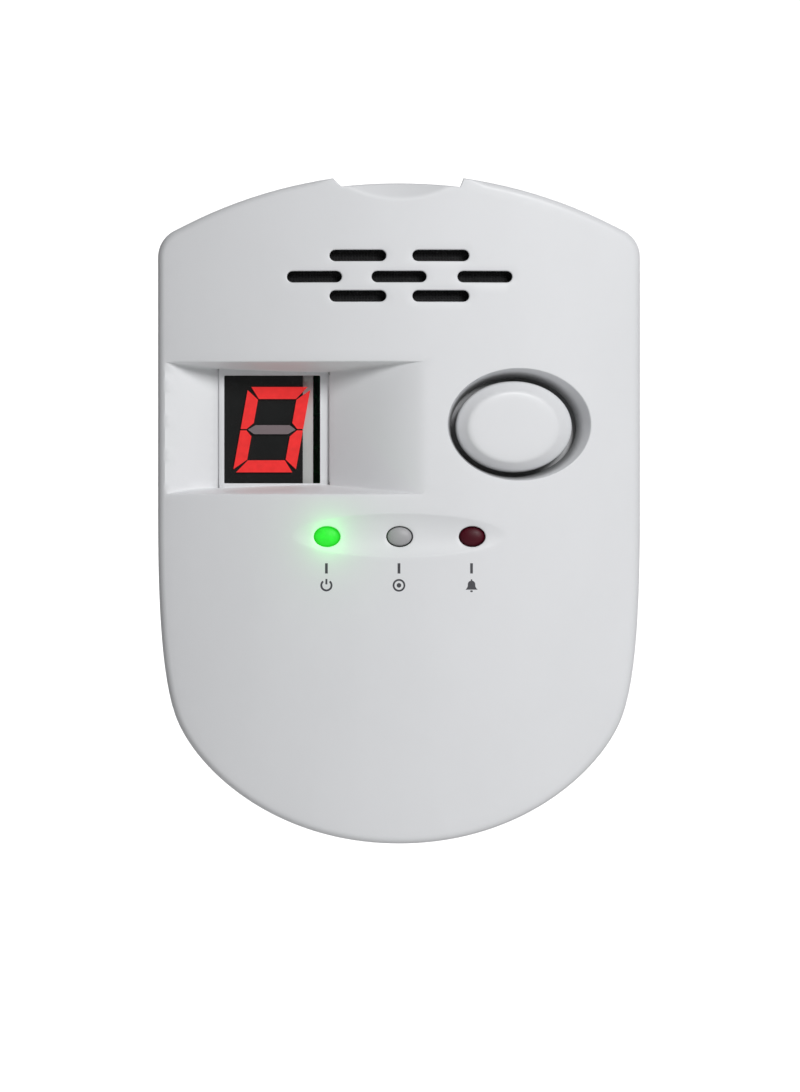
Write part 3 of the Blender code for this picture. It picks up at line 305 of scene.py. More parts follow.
def scoop_drop(x, z):
    """How far a big round cutter, leaning back from the foot of the scoop, is below the crown."""
    if abs(x) > 0.0125 or z < 0.048:
        return 0.0
    run = Vector((0, SCOOP_DEPTH, SCOOP_TOP_Z - SCOOP_FOOT_Z)).normalized()
    away = SCOOP_RADIUS - math.sqrt(SCOOP_RADIUS**2 - x**2)
    along = (z - SCOOP_FOOT_Z - run.y * away) / run.z
    y = APEX_Y + run.y * along - run.z * away
    return eased(y - crown(x), 0.00015)


def front_surface(x, z, drop=0.0):
    """y of the finished front at (x, z). drop is how much lower a rounded edge is there."""
    y = crown(x) + dish_drop(x, z) + lamp_dish_drop(x, z) + scoop_drop(x, z) + drop
    if RECESS_FOOT_Z < z < RECESS_TOP_Z and FLOOR[0, 0] < x < FLOOR[-1, 0]:
        y = max(y, recess_floor(x))
    return y


def front_inside(x, z):
    """y of the front cover's inner side, behind what is hollowed out of its outer side."""
    y = crown(x) + max(WALL, lamp_dish_drop(x, z) + LAMP_DISH_WALL, scoop_drop(x, z) + HOLLOW_WALL)
    if RECESS_FOOT_Z - BACKING < z < RECESS_TOP_Z + BACKING and FLOOR[0, 0] < x < FLOOR[-1, 0]:
        y = max(y, recess_floor(x) + HOLLOW_WALL)
    return y


def recess_rails():
    """Lines of (x, z, y) along the recess's top and bottom walls, with both edges of a wall rounded."""
    tilt = math.radians(90) - math.atan(RECESS_DRAFT)
    reach = math.tan(tilt / 2)
    stations = [x for x in FLOOR[:, 0] if x > -0.0384 and recess_floor(x) - crown(x) > 0.00004]
    extra = []
    for a, b in zip(stations, stations[1:]):
        parts = max(1, math.ceil((b - a) / 0.0009))
        extra += [a + (b - a) * k / parts for k in range(parts)]
    stations = extra + [stations[-1]]
    rails = []
    for edge_z, inward in ((RECESS_TOP_Z, -1), (RECESS_FOOT_Z, 1)):
        columns = []
        for x in stations:
            top_y = crown(x)
            depth = max(recess_floor(x) - top_y, 0.00002)
            # There is hardly any room between the foot of the lower wall and the display's window.
            by_window = min(max((x + 0.0330) / 0.0029, 0), 1) * min(max((-0.0090 - x) / 0.0025, 0), 1)
            rim, foot = min(0.00035, 0.4 * depth), min(0.0005 - 0.00044 * by_window, 0.4 * depth)
            column = []
            for i in range(4):
                angle = tilt * i / 3
                column.append((rim * (math.sin(angle) - reach), rim * (1 - math.cos(angle))))
            for share in (0.35, 0.65):
                column.append((depth * share * RECESS_DRAFT, depth * share))
            for i in (3, 2, 1, 0):
                angle = tilt * i / 3
                into = depth * RECESS_DRAFT + foot * (reach - math.sin(angle))
                column.append((into, depth - foot * (1 - math.cos(angle))))
            columns.append([])
            for k, (into, down) in enumerate(column):
                # Each rail is a hair further in than the last, as two can't lie on one line.
                columns[-1].append((x, edge_z + inward * (into + k * 3e-6), top_y + down))
        rails += [list(rail) for rail in zip(*columns)]
    return rails


# ---- Skins: a flat outline with holes, filled with triangles, then given its shape ----


class Skin:
    """Points and lines in the (x, z) plane, which are filled between, with each point raised to its own y."""

    def __init__(self, shape, sign):
        self.shape = shape  # a function of (x, z) that gives y
        self.sign = sign  # +1 where deeper is +Y, so on the front, and -1 on the back
        self.points, self.heights, self.edges, self.loops = [], [], [], []

    def add(self, x, z, y=None):
        self.points.append((x, z))
        self.heights.append(y)
        return len(self.points) - 1

    def loop(self, points, heights=None):
        """A closed line whose points have these heights, or the shape's own."""
        heights = heights or [None] * len(points)
        found = [self.add(p[0], p[1], y) for p, y in zip(points, heights)]
        self.edges += list(zip(found, found[1:] + found[:1]))
        return found

    def line(self, points):
        found = [self.add(*p) for p in points]
        self.edges += list(zip(found, found[1:]))

    def edge(self, outline, radius, rows):
        """A boundary with a rounded edge, whose rings go in from the outline.

        radius is a number, or one for each point.
        """
        outward = normals(outline)
        radii = [radius] * len(outline) if isinstance(radius, float) else radius
        first = None
        for row in range(rows + 1):
            angle = math.pi / 2 * row / rows
            ring, heights = [], []
            for point, normal, r in zip(outline, outward, radii):
                place = point - normal * r * (1 - math.cos(angle))
                ring.append(place)
                heights.append(self.shape(place.x, place.y, self.sign * r * (1 - math.sin(angle))))
            found = self.loop(ring, heights)
            first = first or found
        self.loops.append(first)

    def hole(self, outline, radius, rows=3):
        """A hole whose edge is rounded: as edge, but with its rings going out from the hole."""
        self.edge(list(reversed(outline)), radius, rows)

    def fill(self, low, high, step, clear, skip=None):
        """Adds a staggered grid of points inside the skin, less those nearer than clear to an older point."""
        tree = kdtree.KDTree(len(self.points))
        for i, (x, z) in enumerate(self.points):
            tree.insert((x, z, 0), i)
        tree.balance()
        ends = [np.array([self.points[i] for i in loop]) for loop in self.loops]
        starts = np.concatenate(ends)
        stops = np.concatenate([np.roll(end, -1, 0) for end in ends])
        for x, z in grid(low, high, step):
            if tree.find((x, z, 0))[2] <= clear or (skip and skip(x, z)):
                continue
            crossing = (starts[:, 1] > z) != (stops[:, 1] > z)
            a, b = starts[crossing], stops[crossing]
            at = a[:, 0] + (z - a[:, 1]) * (b[:, 0] - a[:, 0]) / (b[:, 1] - a[:, 1])
            if np.count_nonzero(x < at) % 2:
                self.add(x, z)

    def faces(self):
        """(places, triangles, renumbered loops), less what lies in holes and outside the outline."""
        scale = 1000.0  # filled in millimetres, where float32 and the tolerance do best
        flat = [Vector((x * scale, z * scale)) for x, z in self.points]
        verts, _, faces, origin, _, _ = delaunay_2d_cdt(flat, self.edges, [], 0, 1e-6)
        number, places = {}, []
        for new, olds in enumerate(origin):
            for old in olds:
                number.setdefault(old, new)
            x, z = verts[new][0] / scale, verts[new][1] / scale
            known = [self.heights[old] for old in olds if self.heights[old] is not None]
            places.append((x, known[0] if known else self.shape(x, z), z))
        loops = [[number[i] for i in loop] for loop in self.loops]
        owner = {i: k for k, loop in enumerate(loops) for i in loop}
        # A triangle with all its corners on one loop is in that loop's hole, or outside the outline.
        kept = [tuple(face) for face in faces if len({owner.get(i, -i - 1) for i in face}) > 1]
        return places, kept, loops


def grid(low, high, step):
    """Places on a staggered grid."""
    rows = int((high[1] - low[1]) / (step * 0.87)) + 1
    columns = int((high[0] - low[0]) / step) + 1
    places = []
    for j in range(rows):
        z = low[1] + j * step * 0.87
        places += [(low[0] + (i + (j % 2) / 2) * step, z) for i in range(columns)]
    return places


def new_object(name, data):
    """A new object in the scene."""
    made = bpy.data.objects.new(name, data)
    bpy.context.scene.collection.objects.link(made)
    return made


def mesh_piece(name, places, faces, smooth=35):
    """An object of these faces, shaded smooth but for its edges sharper than smooth degrees."""
    mesh = bpy.data.meshes.new(name)
    mesh.from_pydata([tuple(p) for p in places], [], faces)
    shape = bmesh.new()
    shape.from_mesh(mesh)
    bmesh.ops.recalc_face_normals(shape, faces=shape.faces)
    shape.to_mesh(mesh)
    shape.free()
    made = new_object(name, mesh)
    mesh.shade_smooth()
    mesh.set_sharp_from_angle(angle=math.radians(smooth))
    return made


def walled(skin, rows, inside, lines=()):
    """(places, faces) of a closed shell: the skin, a wall down from each of its loops, and an inner skin.

    rows has, for each loop, the rows of places that its wall goes down through. inside gives the inner
    skin's y, and lines are lines that the inner skin has to follow.
    """
    places, faces, loops = skin.faces()
    places = [Vector(p) for p in places]
    ends = []
    for loop, wall in zip(loops, rows):
        last = loop
        for row in wall:
            fresh = list(range(len(places), len(places) + len(loop)))
            places += [Vector(p) for p in row]
            for k in range(len(loop)):
                n = (k + 1) % len(loop)
                faces.append((last[n], last[k], fresh[k], fresh[n]))
            last = fresh
        ends.append(last)
    inner = Skin(inside, skin.sign)
    for end in ends:
        inner.loops.append(inner.loop([(places[i].x, places[i].z) for i in end], [places[i].y for i in end]))
    for line in lines:
        inner.line(line)
    low, high = np.array(inner.points).min(0), np.array(inner.points).max(0)
    inner.fill(low, high, 0.0025, 0.0009)
    more, lids, _ = inner.faces()
    edge = [i for end in ends for i in end]
    tree = kdtree.KDTree(len(edge))
    for i in edge:
        tree.insert(places[i], i)
    tree.balance()
    number = {}
    for i, place in enumerate(more):
        _, near, distance = tree.find(place)
        number[i] = near if distance < 2e-6 else len(places)
        if number[i] == len(places):
            places.append(Vector(place))
    faces += [tuple(number[i] for i in reversed(face)) for face in lids]
    return places, faces


def at(points, y):
    """Flat points at one y, or at the y that a function gives."""
    return [(p[0], y(p[0], p[1]) if callable(y) else y, p[1]) for p in points]


def ellipse_ring(centre, radius, stretch, count, phase=0.0):
    """An oval about a centre. radius counts along z, and the oval is stretch times as wide."""
    half_x = radius * stretch
    turn = [2 * math.pi * (i + phase) / count for i in range(count)]
    return [Vector((centre[0] + half_x * math.cos(a), centre[1] + radius * math.sin(a))) for a in turn]


def by_top_notch(point):
    return point.y > 0.045 and abs(point.x) < NOTCH_REACH


def notch_share(point, reach, ease):
    """1 in the notch and 0 further than reach from its middle, easing over ease."""
    return min(max((reach - abs(point.x)) / ease, 0), 1) if point.y > 0.045 else 0


def edge_radii(outline, radius, in_notch, reach, ease):
    """The radius of a rounded edge at each point: radius, and in_notch in the notch."""
    return [radius + (in_notch - radius) * notch_share(point, reach, ease) for point in outline]


def moved_in(outline, distance):
    """The casing's outline, moved in. Under the notch it moves straight in, towards the top arc's centre."""
    outward = normals(outline)
    arc_z = TOP_Z - TOP_RADIUS
    made = []
    for point, normal in zip(outline, outward):
        if by_top_notch(point):
            arm = Vector((point.x, point.y - arc_z))
            length = arm.length - distance
            if distance >= WALL - GAP:
                length = TOP_RADIUS - distance - NOTCH_DEPTH * notch_share(point, NOTCH_REACH, 0.0025)
            made.append(Vector((0, arc_z)) + arm.normalized() * length)
        else:
            made.append(point - normal * distance)
    return made


OUTLINE = casing_outline()


def round_rings(x, z, profile, count):
    """Places of rings about (x, z), one for each (radius, y) of a profile."""
    return [p for radius, y in profile for p in at(ellipse_ring((x, z), radius, 1, count), y)]


def between_rings(rings, count, around=False):
    """Faces that join each ring of places to the next, and the last to the first where they go around."""
    faces = []
    for r in range(rings if around else rings - 1):
        ahead = (r + 1) % rings
        for k in range(count):
            n = (k + 1) % count
            faces.append((r * count + k, r * count + n, ahead * count + n, ahead * count + k))
    return faces


def tube(x, z, size, y_root):
    """(places, faces) of a screw boss: a rod with a blind hole in its open end. y_root is its other end."""
    outer, inner, y_open, y_hole = size
    profile = ((outer, y_root), (outer, y_open), (inner, y_open), (inner, y_hole))
    count = 24
    ends = [tuple(range(count)), tuple(range(3 * count, 4 * count))]
    return round_rings(x, z, profile, count), between_rings(4, count) + ends


def socket(x, z, y_end):
    """(places, faces) of a housing screw's tube, with a wide well at the back for the screw's head."""
    open_y = BACK_Y - 0.0012
    well = SCREW_WELL_RADIUS - 0.00005
    way, outer = SCREW_TUBE
    profile = [(well, open_y), (well, SCREW_SEAT_Y), (way, SCREW_SEAT_Y)]
    profile += [(way, y_end), (outer, y_end), (outer, open_y)]
    return round_rings(x, z, profile, 32), between_rings(len(profile), 32, around=True)


def joined(shapes):
    """(places, faces) of several shapes as one."""
    places, faces = [], []
    for more, rim in shapes:
        shift = len(places)
        places += list(more)
        faces += [tuple(i + shift for i in face) for face in rim]
    return places, faces


# ---- Front cover ----


CREASES = (-0.0301, -0.03002, -0.02993, -0.02985, -0.01175, -0.01166, -0.01155, -0.01145)


def front_cover():
    skin = Skin(front_surface, 1)
    draft_length = DRAFT_END_Y - SEAM_Y
    outline = []
    for point in OUTLINE:
        outline.append(point * (1 - FRONT_DRAFT * (crown(point.x) + FRONT_EDGE - SEAM_Y) / draft_length))
    skin.edge(outline, edge_radii(outline, FRONT_EDGE, 0.0003, NOTCH_REACH, 0.0028), 7)
    rim, groove, inner = (moved_in(OUTLINE, distance) for distance in (SEAM_CHAMFER, SEAM_GROOVE, WALL))
    rows = [
        [
            at(OUTLINE, SEAM_Y - SEAM_CHAMFER),
            at(rim, SEAM_Y),
            at(groove, SEAM_Y),
            at(groove, SEAM_Y - WALL),
            at(inner, SEAM_Y - WALL),
            at(inner, front_inside),
        ]
    ]
    holes = [(stadium(x, z, length, SLOT_HEIGHT), 0.00025) for z, xs, length in SLOT_ROWS for x in xs]
    for x in LAMP_XS.values():
        holes.append((ellipse_ring((x, LAMP_Z), LAMP_HOLE_RADIUS, LAMP_OVAL, 48), 0.0002))
    for hole, radius in holes:
        skin.hole(hole, radius)
        rows.append([at(reversed(hole), front_inside)])
    hole, collar = (ellipse_ring(BUTTON, radius, OVAL, 144) for radius in (HOLE_RADIUS, COLLAR_RADIUS))
    skin.hole(hole, 0.00015)
    deep = [at(reversed(ring), lambda x, z: crown(x) + COLLAR_DEPTH) for ring in (hole, collar)]
    rows.append([*deep, at(reversed(collar), front_inside)])
    middle, half = window_size(WINDOW_X, WINDOW_Z)
    window = rounded_box(*middle, *half, 0.0002, 0.0008)
    seat_middle, seat_half = window_size(SEAT_X, SEAT_Z)
    seat = []
    for p in window:
        away = [(p[i] - middle[i]) * seat_half[i] / half[i] for i in (0, 1)]
        seat.append(Vector(seat_middle) + Vector(away))
    skin.hole(window, 0.00009)
    wall_y = APEX_Y + RECESS_DEPTH + WINDOW_WALL
    rows.append([at(reversed(window), wall_y), at(reversed(seat), wall_y), at(reversed(seat), front_inside)])
    for share in (0.34, 0.55, 0.75, 0.92, 0.96, 1.0, 1.04, 1.08):
        skin.loop(dish_ring(share))
    width, height = LAMP_DISH
    for share in (0.95, 0.97, 0.985, 1.0, 1.015, 1.035):
        skin.loop(ellipse_ring((0, LAMP_Z + LAMP_DISH_RISE), height * share, width / height, 200))
    for rail in recess_rails():
        skin.line(rail)
    for x in CREASES:
        slope = (recess_floor(x) - crown(x)) * RECESS_DRAFT
        low, high = RECESS_FOOT_Z + slope, RECESS_TOP_Z - slope
        count = round((high - low - 0.0012) / 0.0007)
        skin.line([(x, low + 0.0006 + (high - low - 0.0012) * i / count, None) for i in range(count + 1)])
    skin.fill((-0.013, 0.0493), (0.013, 0.0548), 0.00045, 0.0002, by_notch)
    skin.fill((-0.0182, -0.0085), (0.0182, -0.0004), 0.0006, 0.0003)
    skin.fill((-0.041, -0.057), (0.041, 0.057), 0.0011, 0.0007, in_wall)
    lines = []
    stations = [-0.0370 + 0.0013 * i for i in range(31)]
    for edge_z, way in ((RECESS_TOP_Z, 1), (RECESS_FOOT_Z, -1)):
        lines.append([(x, edge_z + way * (BACKING - 1e-5), None) for x in stations])
        lines.append([(x, edge_z + way * (BACKING + 1e-4), None) for x in stations])
    shapes = [walled(skin, rows, front_inside, lines)]
    for size, screws in ((BOSS, HOUSING_SCREWS), (BOARD_POST, BOARD_SCREWS)):
        shapes += [tube(x, z, size, crown(x) + INTO_FRONT) for x, z in screws]
    return mesh_piece("front_shell", *joined(shapes))


def window_size(x, z):
    """((middle x, middle z), (half width, half height))"""
    return ((x[0] + x[1]) / 2, (z[0] + z[1]) / 2), ((x[1] - x[0]) / 2, (z[1] - z[0]) / 2)


def by_notch(x, z):
    """Whether (x, z) is on the rounded edge at the notch's foot, or past it."""
    return math.hypot(x, z - TOP_Z + TOP_RADIUS) > TOP_RADIUS - NOTCH_DEPTH - 0.0011


def in_wall(x, z):
    """Whether (x, z) is on the recess's top or bottom wall."""
    depth = recess_floor(x) - crown(x)
    if depth <= 0 or not -0.0386 < x < 0.0052:
        return False
    reach = depth * RECESS_DRAFT + 0.0006
    return any(-0.0003 < into < reach for into in (RECESS_TOP_Z - z, z - RECESS_FOOT_Z))


# ---- Rear cover ----


def rear_surface(x, z, drop=0.0):
    """y of the finished back at (x, z). drop is as for front_surface."""
    if abs(x) < PLUG_PAD[0] and abs(z) < PLUG_PAD[1]:
        return drop
    if abs(x) < LABEL_HALF[0] + GAP and abs(z - LABEL_Z) < LABEL_HALF[1] + GAP:
        return BACK_Y - LABEL_RECESS + drop
    return BACK_Y + drop


def step_rings(skin, outline, low, high, round_high):
    """Rings that carry the skin over a step: one at its foot, and the rest round its top edge.

    round_high is that edge's radius, and is above zero where the high side is inside the outline.
    """
    inward = [-n for n in normals(outline)]
    side = math.copysign(1, round_high)
    size = abs(round_high)
    skin.loop([p - i * side * 0.00001 for p, i in zip(outline, inward)], [low] * len(outline))
    for row in range(4):
        angle = math.pi / 2 * row / 3
        ring = [p + i * side * size * (1 - math.cos(angle)) for p, i in zip(outline, inward)]
        skin.loop(ring, [high - size * (1 - math.sin(angle))] * len(outline))


def rear_cover():
    skin = Skin(rear_surface, -1)
    outline = [p * BACK_SCALE for p in OUTLINE]
    skin.edge(outline, edge_radii(outline, BACK_EDGE, 0.0004, 0.0150, 0.0036), 6)
    rim, lip, inner = (moved_in(OUTLINE, distance) for distance in (SEAM_CHAMFER, SEAM_GROOVE + GAP, WALL))
    seam_y, lip_y, inside_y = SEAM_Y + GAP, SEAM_Y - WALL + GAP, BACK_Y - WALL
    rows = [
        [
            at(OUTLINE, seam_y + SEAM_CHAMFER),
            at(rim, seam_y),
            at(lip, seam_y),
            at(lip, lip_y),
            at(inner, lip_y),
            at([p * INNER_SCALE for p in inner], inside_y),
        ]
    ]
    holes = [ellipse_ring(screw, SCREW_WELL_RADIUS, 1, 32) for screw in HOUSING_SCREWS]
    holes += [stadium(x, VENT_Z, *VENT_SIZE, upright=True) for x in VENT_XS]
    holes += [rounded_box(x, 0, *BLADE_SLOT, 0.0002, 0.0008) for x in (-BLADE_X, BLADE_X)]
    for hole in holes:
        skin.hole(hole, 0.0002)
        rows.append([at(reversed(hole), inside_y)])
    step_rings(skin, rounded_box(0, 0, *PLUG_PAD, 0.004), BACK_Y, 0.0, 0.0004)
    label = rounded_box(0, LABEL_Z, LABEL_HALF[0] + GAP, LABEL_HALF[1] + GAP, 0.0015)
    step_rings(skin, label, BACK_Y - LABEL_RECESS, BACK_Y, -0.0002)
    skin.fill((-0.041, -0.057), (0.041, 0.057), 0.0022, 0.0009)
    shapes = [walled(skin, rows, lambda x, z: inside_y)]
    shapes += [socket(x, z, seam_y) for x, z in HOUSING_SCREWS]
    shapes += [tube(x, 0, CARRIER_POST, inside_y + 0.0004) for x in CARRIER_SCREW_XS]
    return mesh_piece("rear_shell", *joined(shapes))


# ---- Pieces turned about an axis along Y ----


def turned(name, rings):
    """A closed piece through rings of places. The first and the last ring are closed with a fan."""
    count = len(rings[0])
    places = [p for ring in rings for p in ring]
    faces = between_rings(len(rings), count)
    for ring, start in ((rings[0], 0), (rings[-1], (len(rings) - 1) * count)):
        middle = sum((Vector(p) for p in ring), Vector()) / count
        places.append(middle)
        faces += [(start + k, start + (k + 1) % count, len(places) - 1) for k in range(count)]
    return mesh_piece(name, places, faces, smooth=40)


def test_button():
    """The cap, its flange behind the collar, its hollow back, and the stem that reaches the switch."""
    top = COLLAR_DEPTH + GAP
    foot = top + FLANGE_THICKNESS
    # (radius, depth under the crown): the face, the chamfer round it, the rim and flange, and the hollow
    profile = [
        (0.0006, -0.00040), (0.0018, -0.00040), (0.0032, -0.00039), (0.0046, -0.00037), (0.0053, -0.00034),
        (0.0056, -0.00029), (0.0058, -0.00021), (0.00598, -0.00008), (0.00615, 0.00010), (0.0065, 0.00050),
        (0.0069, 0.00097), (0.0072, 0.00132), (0.0074, 0.00158), (0.0075, 0.00180), (0.00755, 0.00210),
        (0.00755, top), (FLANGE_RADIUS, top), (FLANGE_RADIUS, foot),
        (0.0061, foot), (0.0061, 0.0016), (0.0026, 0.0016),
    ]  # fmt: skip
    rings = []
    for radius, depth in profile:
        ring = ellipse_ring(BUTTON, radius, OVAL, 144)
        rings.append([(p.x, crown(p.x) + depth, p.y) for p in ring])
    stem = ((0.0020, crown(BUTTON.x) + 0.0024), (0.0020, -0.0245), (0.0018, -0.0243))
    rings += [at(ellipse_ring(BUTTON, radius, 1, 144), y) for radius, y in stem]
    return turned("button_cap", rings)


def lamp(name, x):
    """A lamp: its dome, its straight side, and the rim at its foot."""
    tip = crown(x) + LAMP_TIP_DEPTH
    rings = []
    for i in range(9):
        angle = math.pi / 2 * (i + 0.6) / 8.6
        rings.append((LAMP_RADIUS * math.sin(angle), tip + LAMP_RADIUS * (1 - math.cos(angle)) * 0.5))
    rim = LAMP_RADIUS + 0.0004
    rings += [(LAMP_RADIUS, LAMP_BASE_Y - 0.0012), (LAMP_RADIUS + 0.0001, LAMP_BASE_Y - 0.0010)]
    rings += [(rim - 0.0001, LAMP_BASE_Y - 0.0010), (rim, LAMP_BASE_Y - 0.0009), (rim, LAMP_BASE_Y)]
    return turned(name, [at(ellipse_ring((x, LAMP_Z), radius, LAMP_OVAL, 48), y) for radius, y in rings])


# ---- Printed marks ----

PROUD = 0.000012
SUNK = 0.00006


def ribbon(points, width, closed=False):
    """(places, faces) of a thin raised line along flat points."""
    count = len(points)
    sides = []
    for i, point in enumerate(points):
        before = points[i - 1] if closed or i else point
        after = points[(i + 1) % count] if closed or i < count - 1 else point
        run = (after - before).normalized()
        aside = Vector((-run.y, run.x)) * width / 2
        sides.append((point + aside, point - aside))
    places = []
    for left, right in sides:
        for point, level in ((left, -PROUD), (right, -PROUD), (right, SUNK), (left, SUNK)):
            places.append((point.x, crown(point.x) + level, point.y))
    faces = []
    for i in range(count if closed else count - 1):
        n = (i + 1) % count
        faces += [(4 * i + k, 4 * i + (k + 1) % 4, 4 * n + (k + 1) % 4, 4 * n + k) for k in range(4)]
    if not closed:
        faces += [(0, 1, 2, 3), tuple(4 * (count - 1) + k for k in range(4))]
    return places, faces


def blot(outline):
    """(places, faces) of a thin raised patch."""
    count = len(outline)
    places = [(p.x, crown(p.x) + level, p.y) for level in (-PROUD, SUNK) for p in outline]
    faces = [tuple(range(count)), tuple(range(count, 2 * count))]
    faces += [(k, (k + 1) % count, count + (k + 1) % count, count + k) for k in range(count)]
    return places, faces


def marks():
    """Under each lamp, a line and a sign: power on, a ring and dot for state, and a bell for the alarm."""
    made = []
    for name, x in (("power", -0.0120), ("state", 0.0), ("alarm", 0.0120)):
        line = [Vector((x, z * MM)) for z in (-8.8, -9.4, -10.0, -10.5)]
        shapes = [ribbon(line, 0.00045)]
        middle = Vector((x, -0.01245))
        if name == "power":
            turn = [math.radians(a) for a in range(130, 411, 14)]
            open_ring = [middle + Vector((math.cos(a), math.sin(a))) * 0.00085 for a in turn]
            shapes.append(ribbon(open_ring, 0.00032))
            shapes.append(ribbon([middle + Vector((0, z * MM)) for z in (0.15, 0.6, 1.05)], 0.00032))
        elif name == "state":
            shapes.append(ribbon(ellipse_ring(middle, 0.00090, 1, 28), 0.00030, closed=True))
            shapes.append(blot(ellipse_ring(middle, 0.00038, 1, 20)))
        else:
            skirt = [Vector(p) for p in ((0.00100, -0.00072), (0.00080, -0.00050), (0.00062, -0.00018))]
            dome = arc((0, 0.00015), 0.00062, 0, math.pi, 12)
            outline = skirt + dome + [Vector((-p.x, p.y)) for p in reversed(skirt)]
            shapes.append(blot([middle + p for p in outline]))
            shapes.append(blot(ellipse_ring(middle + Vector((0, -0.00098)), 0.00016, 1.4, 12)))
            shapes.append(blot(ellipse_ring(middle + Vector((0, 0.00086)), 0.00014, 1, 12)))
        made.append((f"{name}_mark", joined(shapes)))
    return [mesh_piece(name, *shape) for name, shape in made]


# ---- Materials ----


WAVE = 0.314  # a wave texture's bands are this many metres apart at scale 1


def scaled(colour, share):
    return tuple(min(c * share, 1.0) for c in colour)


class Finish:
    """A material built from nodes. Its textures are set out in the object's own space, in metres."""

    def __init__(self, name, roughness, metallic=0.0, **sockets):
        self.material = bpy.data.materials.new(name)
        self.material.use_nodes = True
        self.tree = self.material.node_tree
        self.shader = self.tree.nodes["Principled BSDF"]
        self.shader.inputs["Roughness"].default_value = roughness
        self.shader.inputs["Metallic"].default_value = metallic
        for socket, value in sockets.items():
            self.shader.inputs[socket.replace("_", " ")].default_value = value
        self.coordinates = self.node("ShaderNodeTexCoord").outputs["Object"]

    def node(self, kind, inputs=None, **settings):
        """A new node. Each of its inputs is a value, or another node's output."""
        made = self.tree.nodes.new(kind)
        for key, value in settings.items():
            setattr(made, key, value)
        for key, value in (inputs or {}).items():
            if isinstance(value, bpy.types.NodeSocket):
                self.link(value, made.inputs[key])
            else:
                made.inputs[key].default_value = value
        return made

    def link(self, source, target):
        self.tree.links.new(source, target)

    def noise(self, size, detail=3.0, stretch=(1, 1, 1)):
        """A noise whose blotches are about size metres across. Its output is a height from 0 to 1."""
        place = self.coordinates
        if stretch != (1, 1, 1):
            place = self.node("ShaderNodeMapping", {"Vector": place, "Scale": stretch}).outputs["Vector"]
        inputs = {"Scale": 1 / size, "Detail": detail, "Vector": place}
        return self.node("ShaderNodeTexNoise", inputs).outputs["Fac"]

    def ranged(self, source, low=0.0, high=1.0, start=0.3, end=0.7):
        """What goes from low to high as the source goes from start to end."""
        inputs = {"Value": source, "From Min": start, "From Max": end, "To Min": low, "To Max": high}
        return self.node("ShaderNodeMapRange", inputs).outputs["Result"]

    def waves(self, direction, pitch):
        """A wave texture whose bands are pitch metres apart."""
        inputs = {"Scale": WAVE / pitch, "Vector": self.coordinates}
        return self.node(
            "ShaderNodeTexWave", inputs, wave_type="BANDS", bands_direction=direction, wave_profile="SIN"
        )

    def openness(self, reach):
        """1 on an open surface, and less inside a gap or against a wall nearer than reach."""
        return self.node("ShaderNodeAmbientOcclusion", {"Distance": reach}, samples=8).outputs["AO"]

    def mixed(self, factor, first, second):
        """A colour between two, each a colour or another node's output."""
        first, second = ((*c, 1.0) if isinstance(c, tuple) else c for c in (first, second))
        # A Mix node has sockets for each kind of value: 6, 7 and output 2 are those for colours.
        return self.node("ShaderNodeMix", {0: factor, 6: first, 7: second}, data_type="RGBA").outputs[2]

    def math(self, operation, first, second=0.0):
        return self.node("ShaderNodeMath", {0: first, 1: second}, operation=operation).outputs["Value"]

    def colour(self, source):
        self.link(source, self.shader.inputs["Base Color"])

    def rough(self, low, high, *noise, **stretch):
        """A roughness that goes from low to high with a noise."""
        self.link(self.ranged(self.noise(*noise, **stretch), low, high), self.shader.inputs["Roughness"])

    def bump(self, *layers):
        """Layers of (height output, depth in metres), each on top of the one before."""
        below = None
        for source, depth in layers:
            inputs = {"Height": source, "Distance": depth, "Strength": 1.0}
            if below:
                inputs["Normal"] = below
            below = self.node("ShaderNodeBump", inputs).outputs["Normal"]
        self.link(below, self.shader.inputs["Normal"])


def plastic(name, colour, roughness=0.45, grain=0.00025, depth=0.000004, vary=0.03, crevice_shade=1.0, **sockets):
    """Moulded plastic: a fine grain, faint flow marks, and gloss that isn't quite even.

    A shade share below 1 is painted shade: it darkens the colour to that share in gaps, in hollows and
    against nearby walls, where an ambient occlusion node finds them.
    """
    finish = Finish(name, roughness, **sockets)
    flow = finish.noise(0.012, 3, stretch=(1, 1, 0.5))
    tint = finish.mixed(finish.ranged(flow), scaled(colour, 1 - vary), scaled(colour, 1 + vary))
    # Painted shade: the colour darkens in gaps, in hollows and against nearby walls, going by ambient
    # occlusion.
    if crevice_shade < 1:
        unshaded_share = finish.ranged(finish.openness(0.0030), 0, 1, 0.25, 0.62)
        tint = finish.mixed(unshaded_share, scaled(colour, crevice_shade), tint)
    finish.colour(tint)
    finish.rough(roughness - 0.03, roughness + 0.03, 0.0015, 4)
    finish.bump((finish.noise(grain, 2), depth), (finish.noise(0.0022, 2), depth * 1.5))
    return finish


def metal(name, colour, roughness=0.3, brushed=(1, 1, 1), depth=0.000003, vary=0.08):
    """Plated metal: streaks along the way it was worked, small scratches, and duller patches."""
    finish = Finish(name, roughness, 1.0)
    patches = finish.ranged(finish.noise(0.0009, 5))
    finish.colour(finish.mixed(patches, scaled(colour, 1 - vary), scaled(colour, 1 + vary)))
    streaks = finish.noise(0.00012, 4, stretch=brushed)
    finish.rough(roughness - 0.08, roughness + 0.14, 0.0005, 4, stretch=brushed)
    finish.bump((streaks, depth))
    return finish


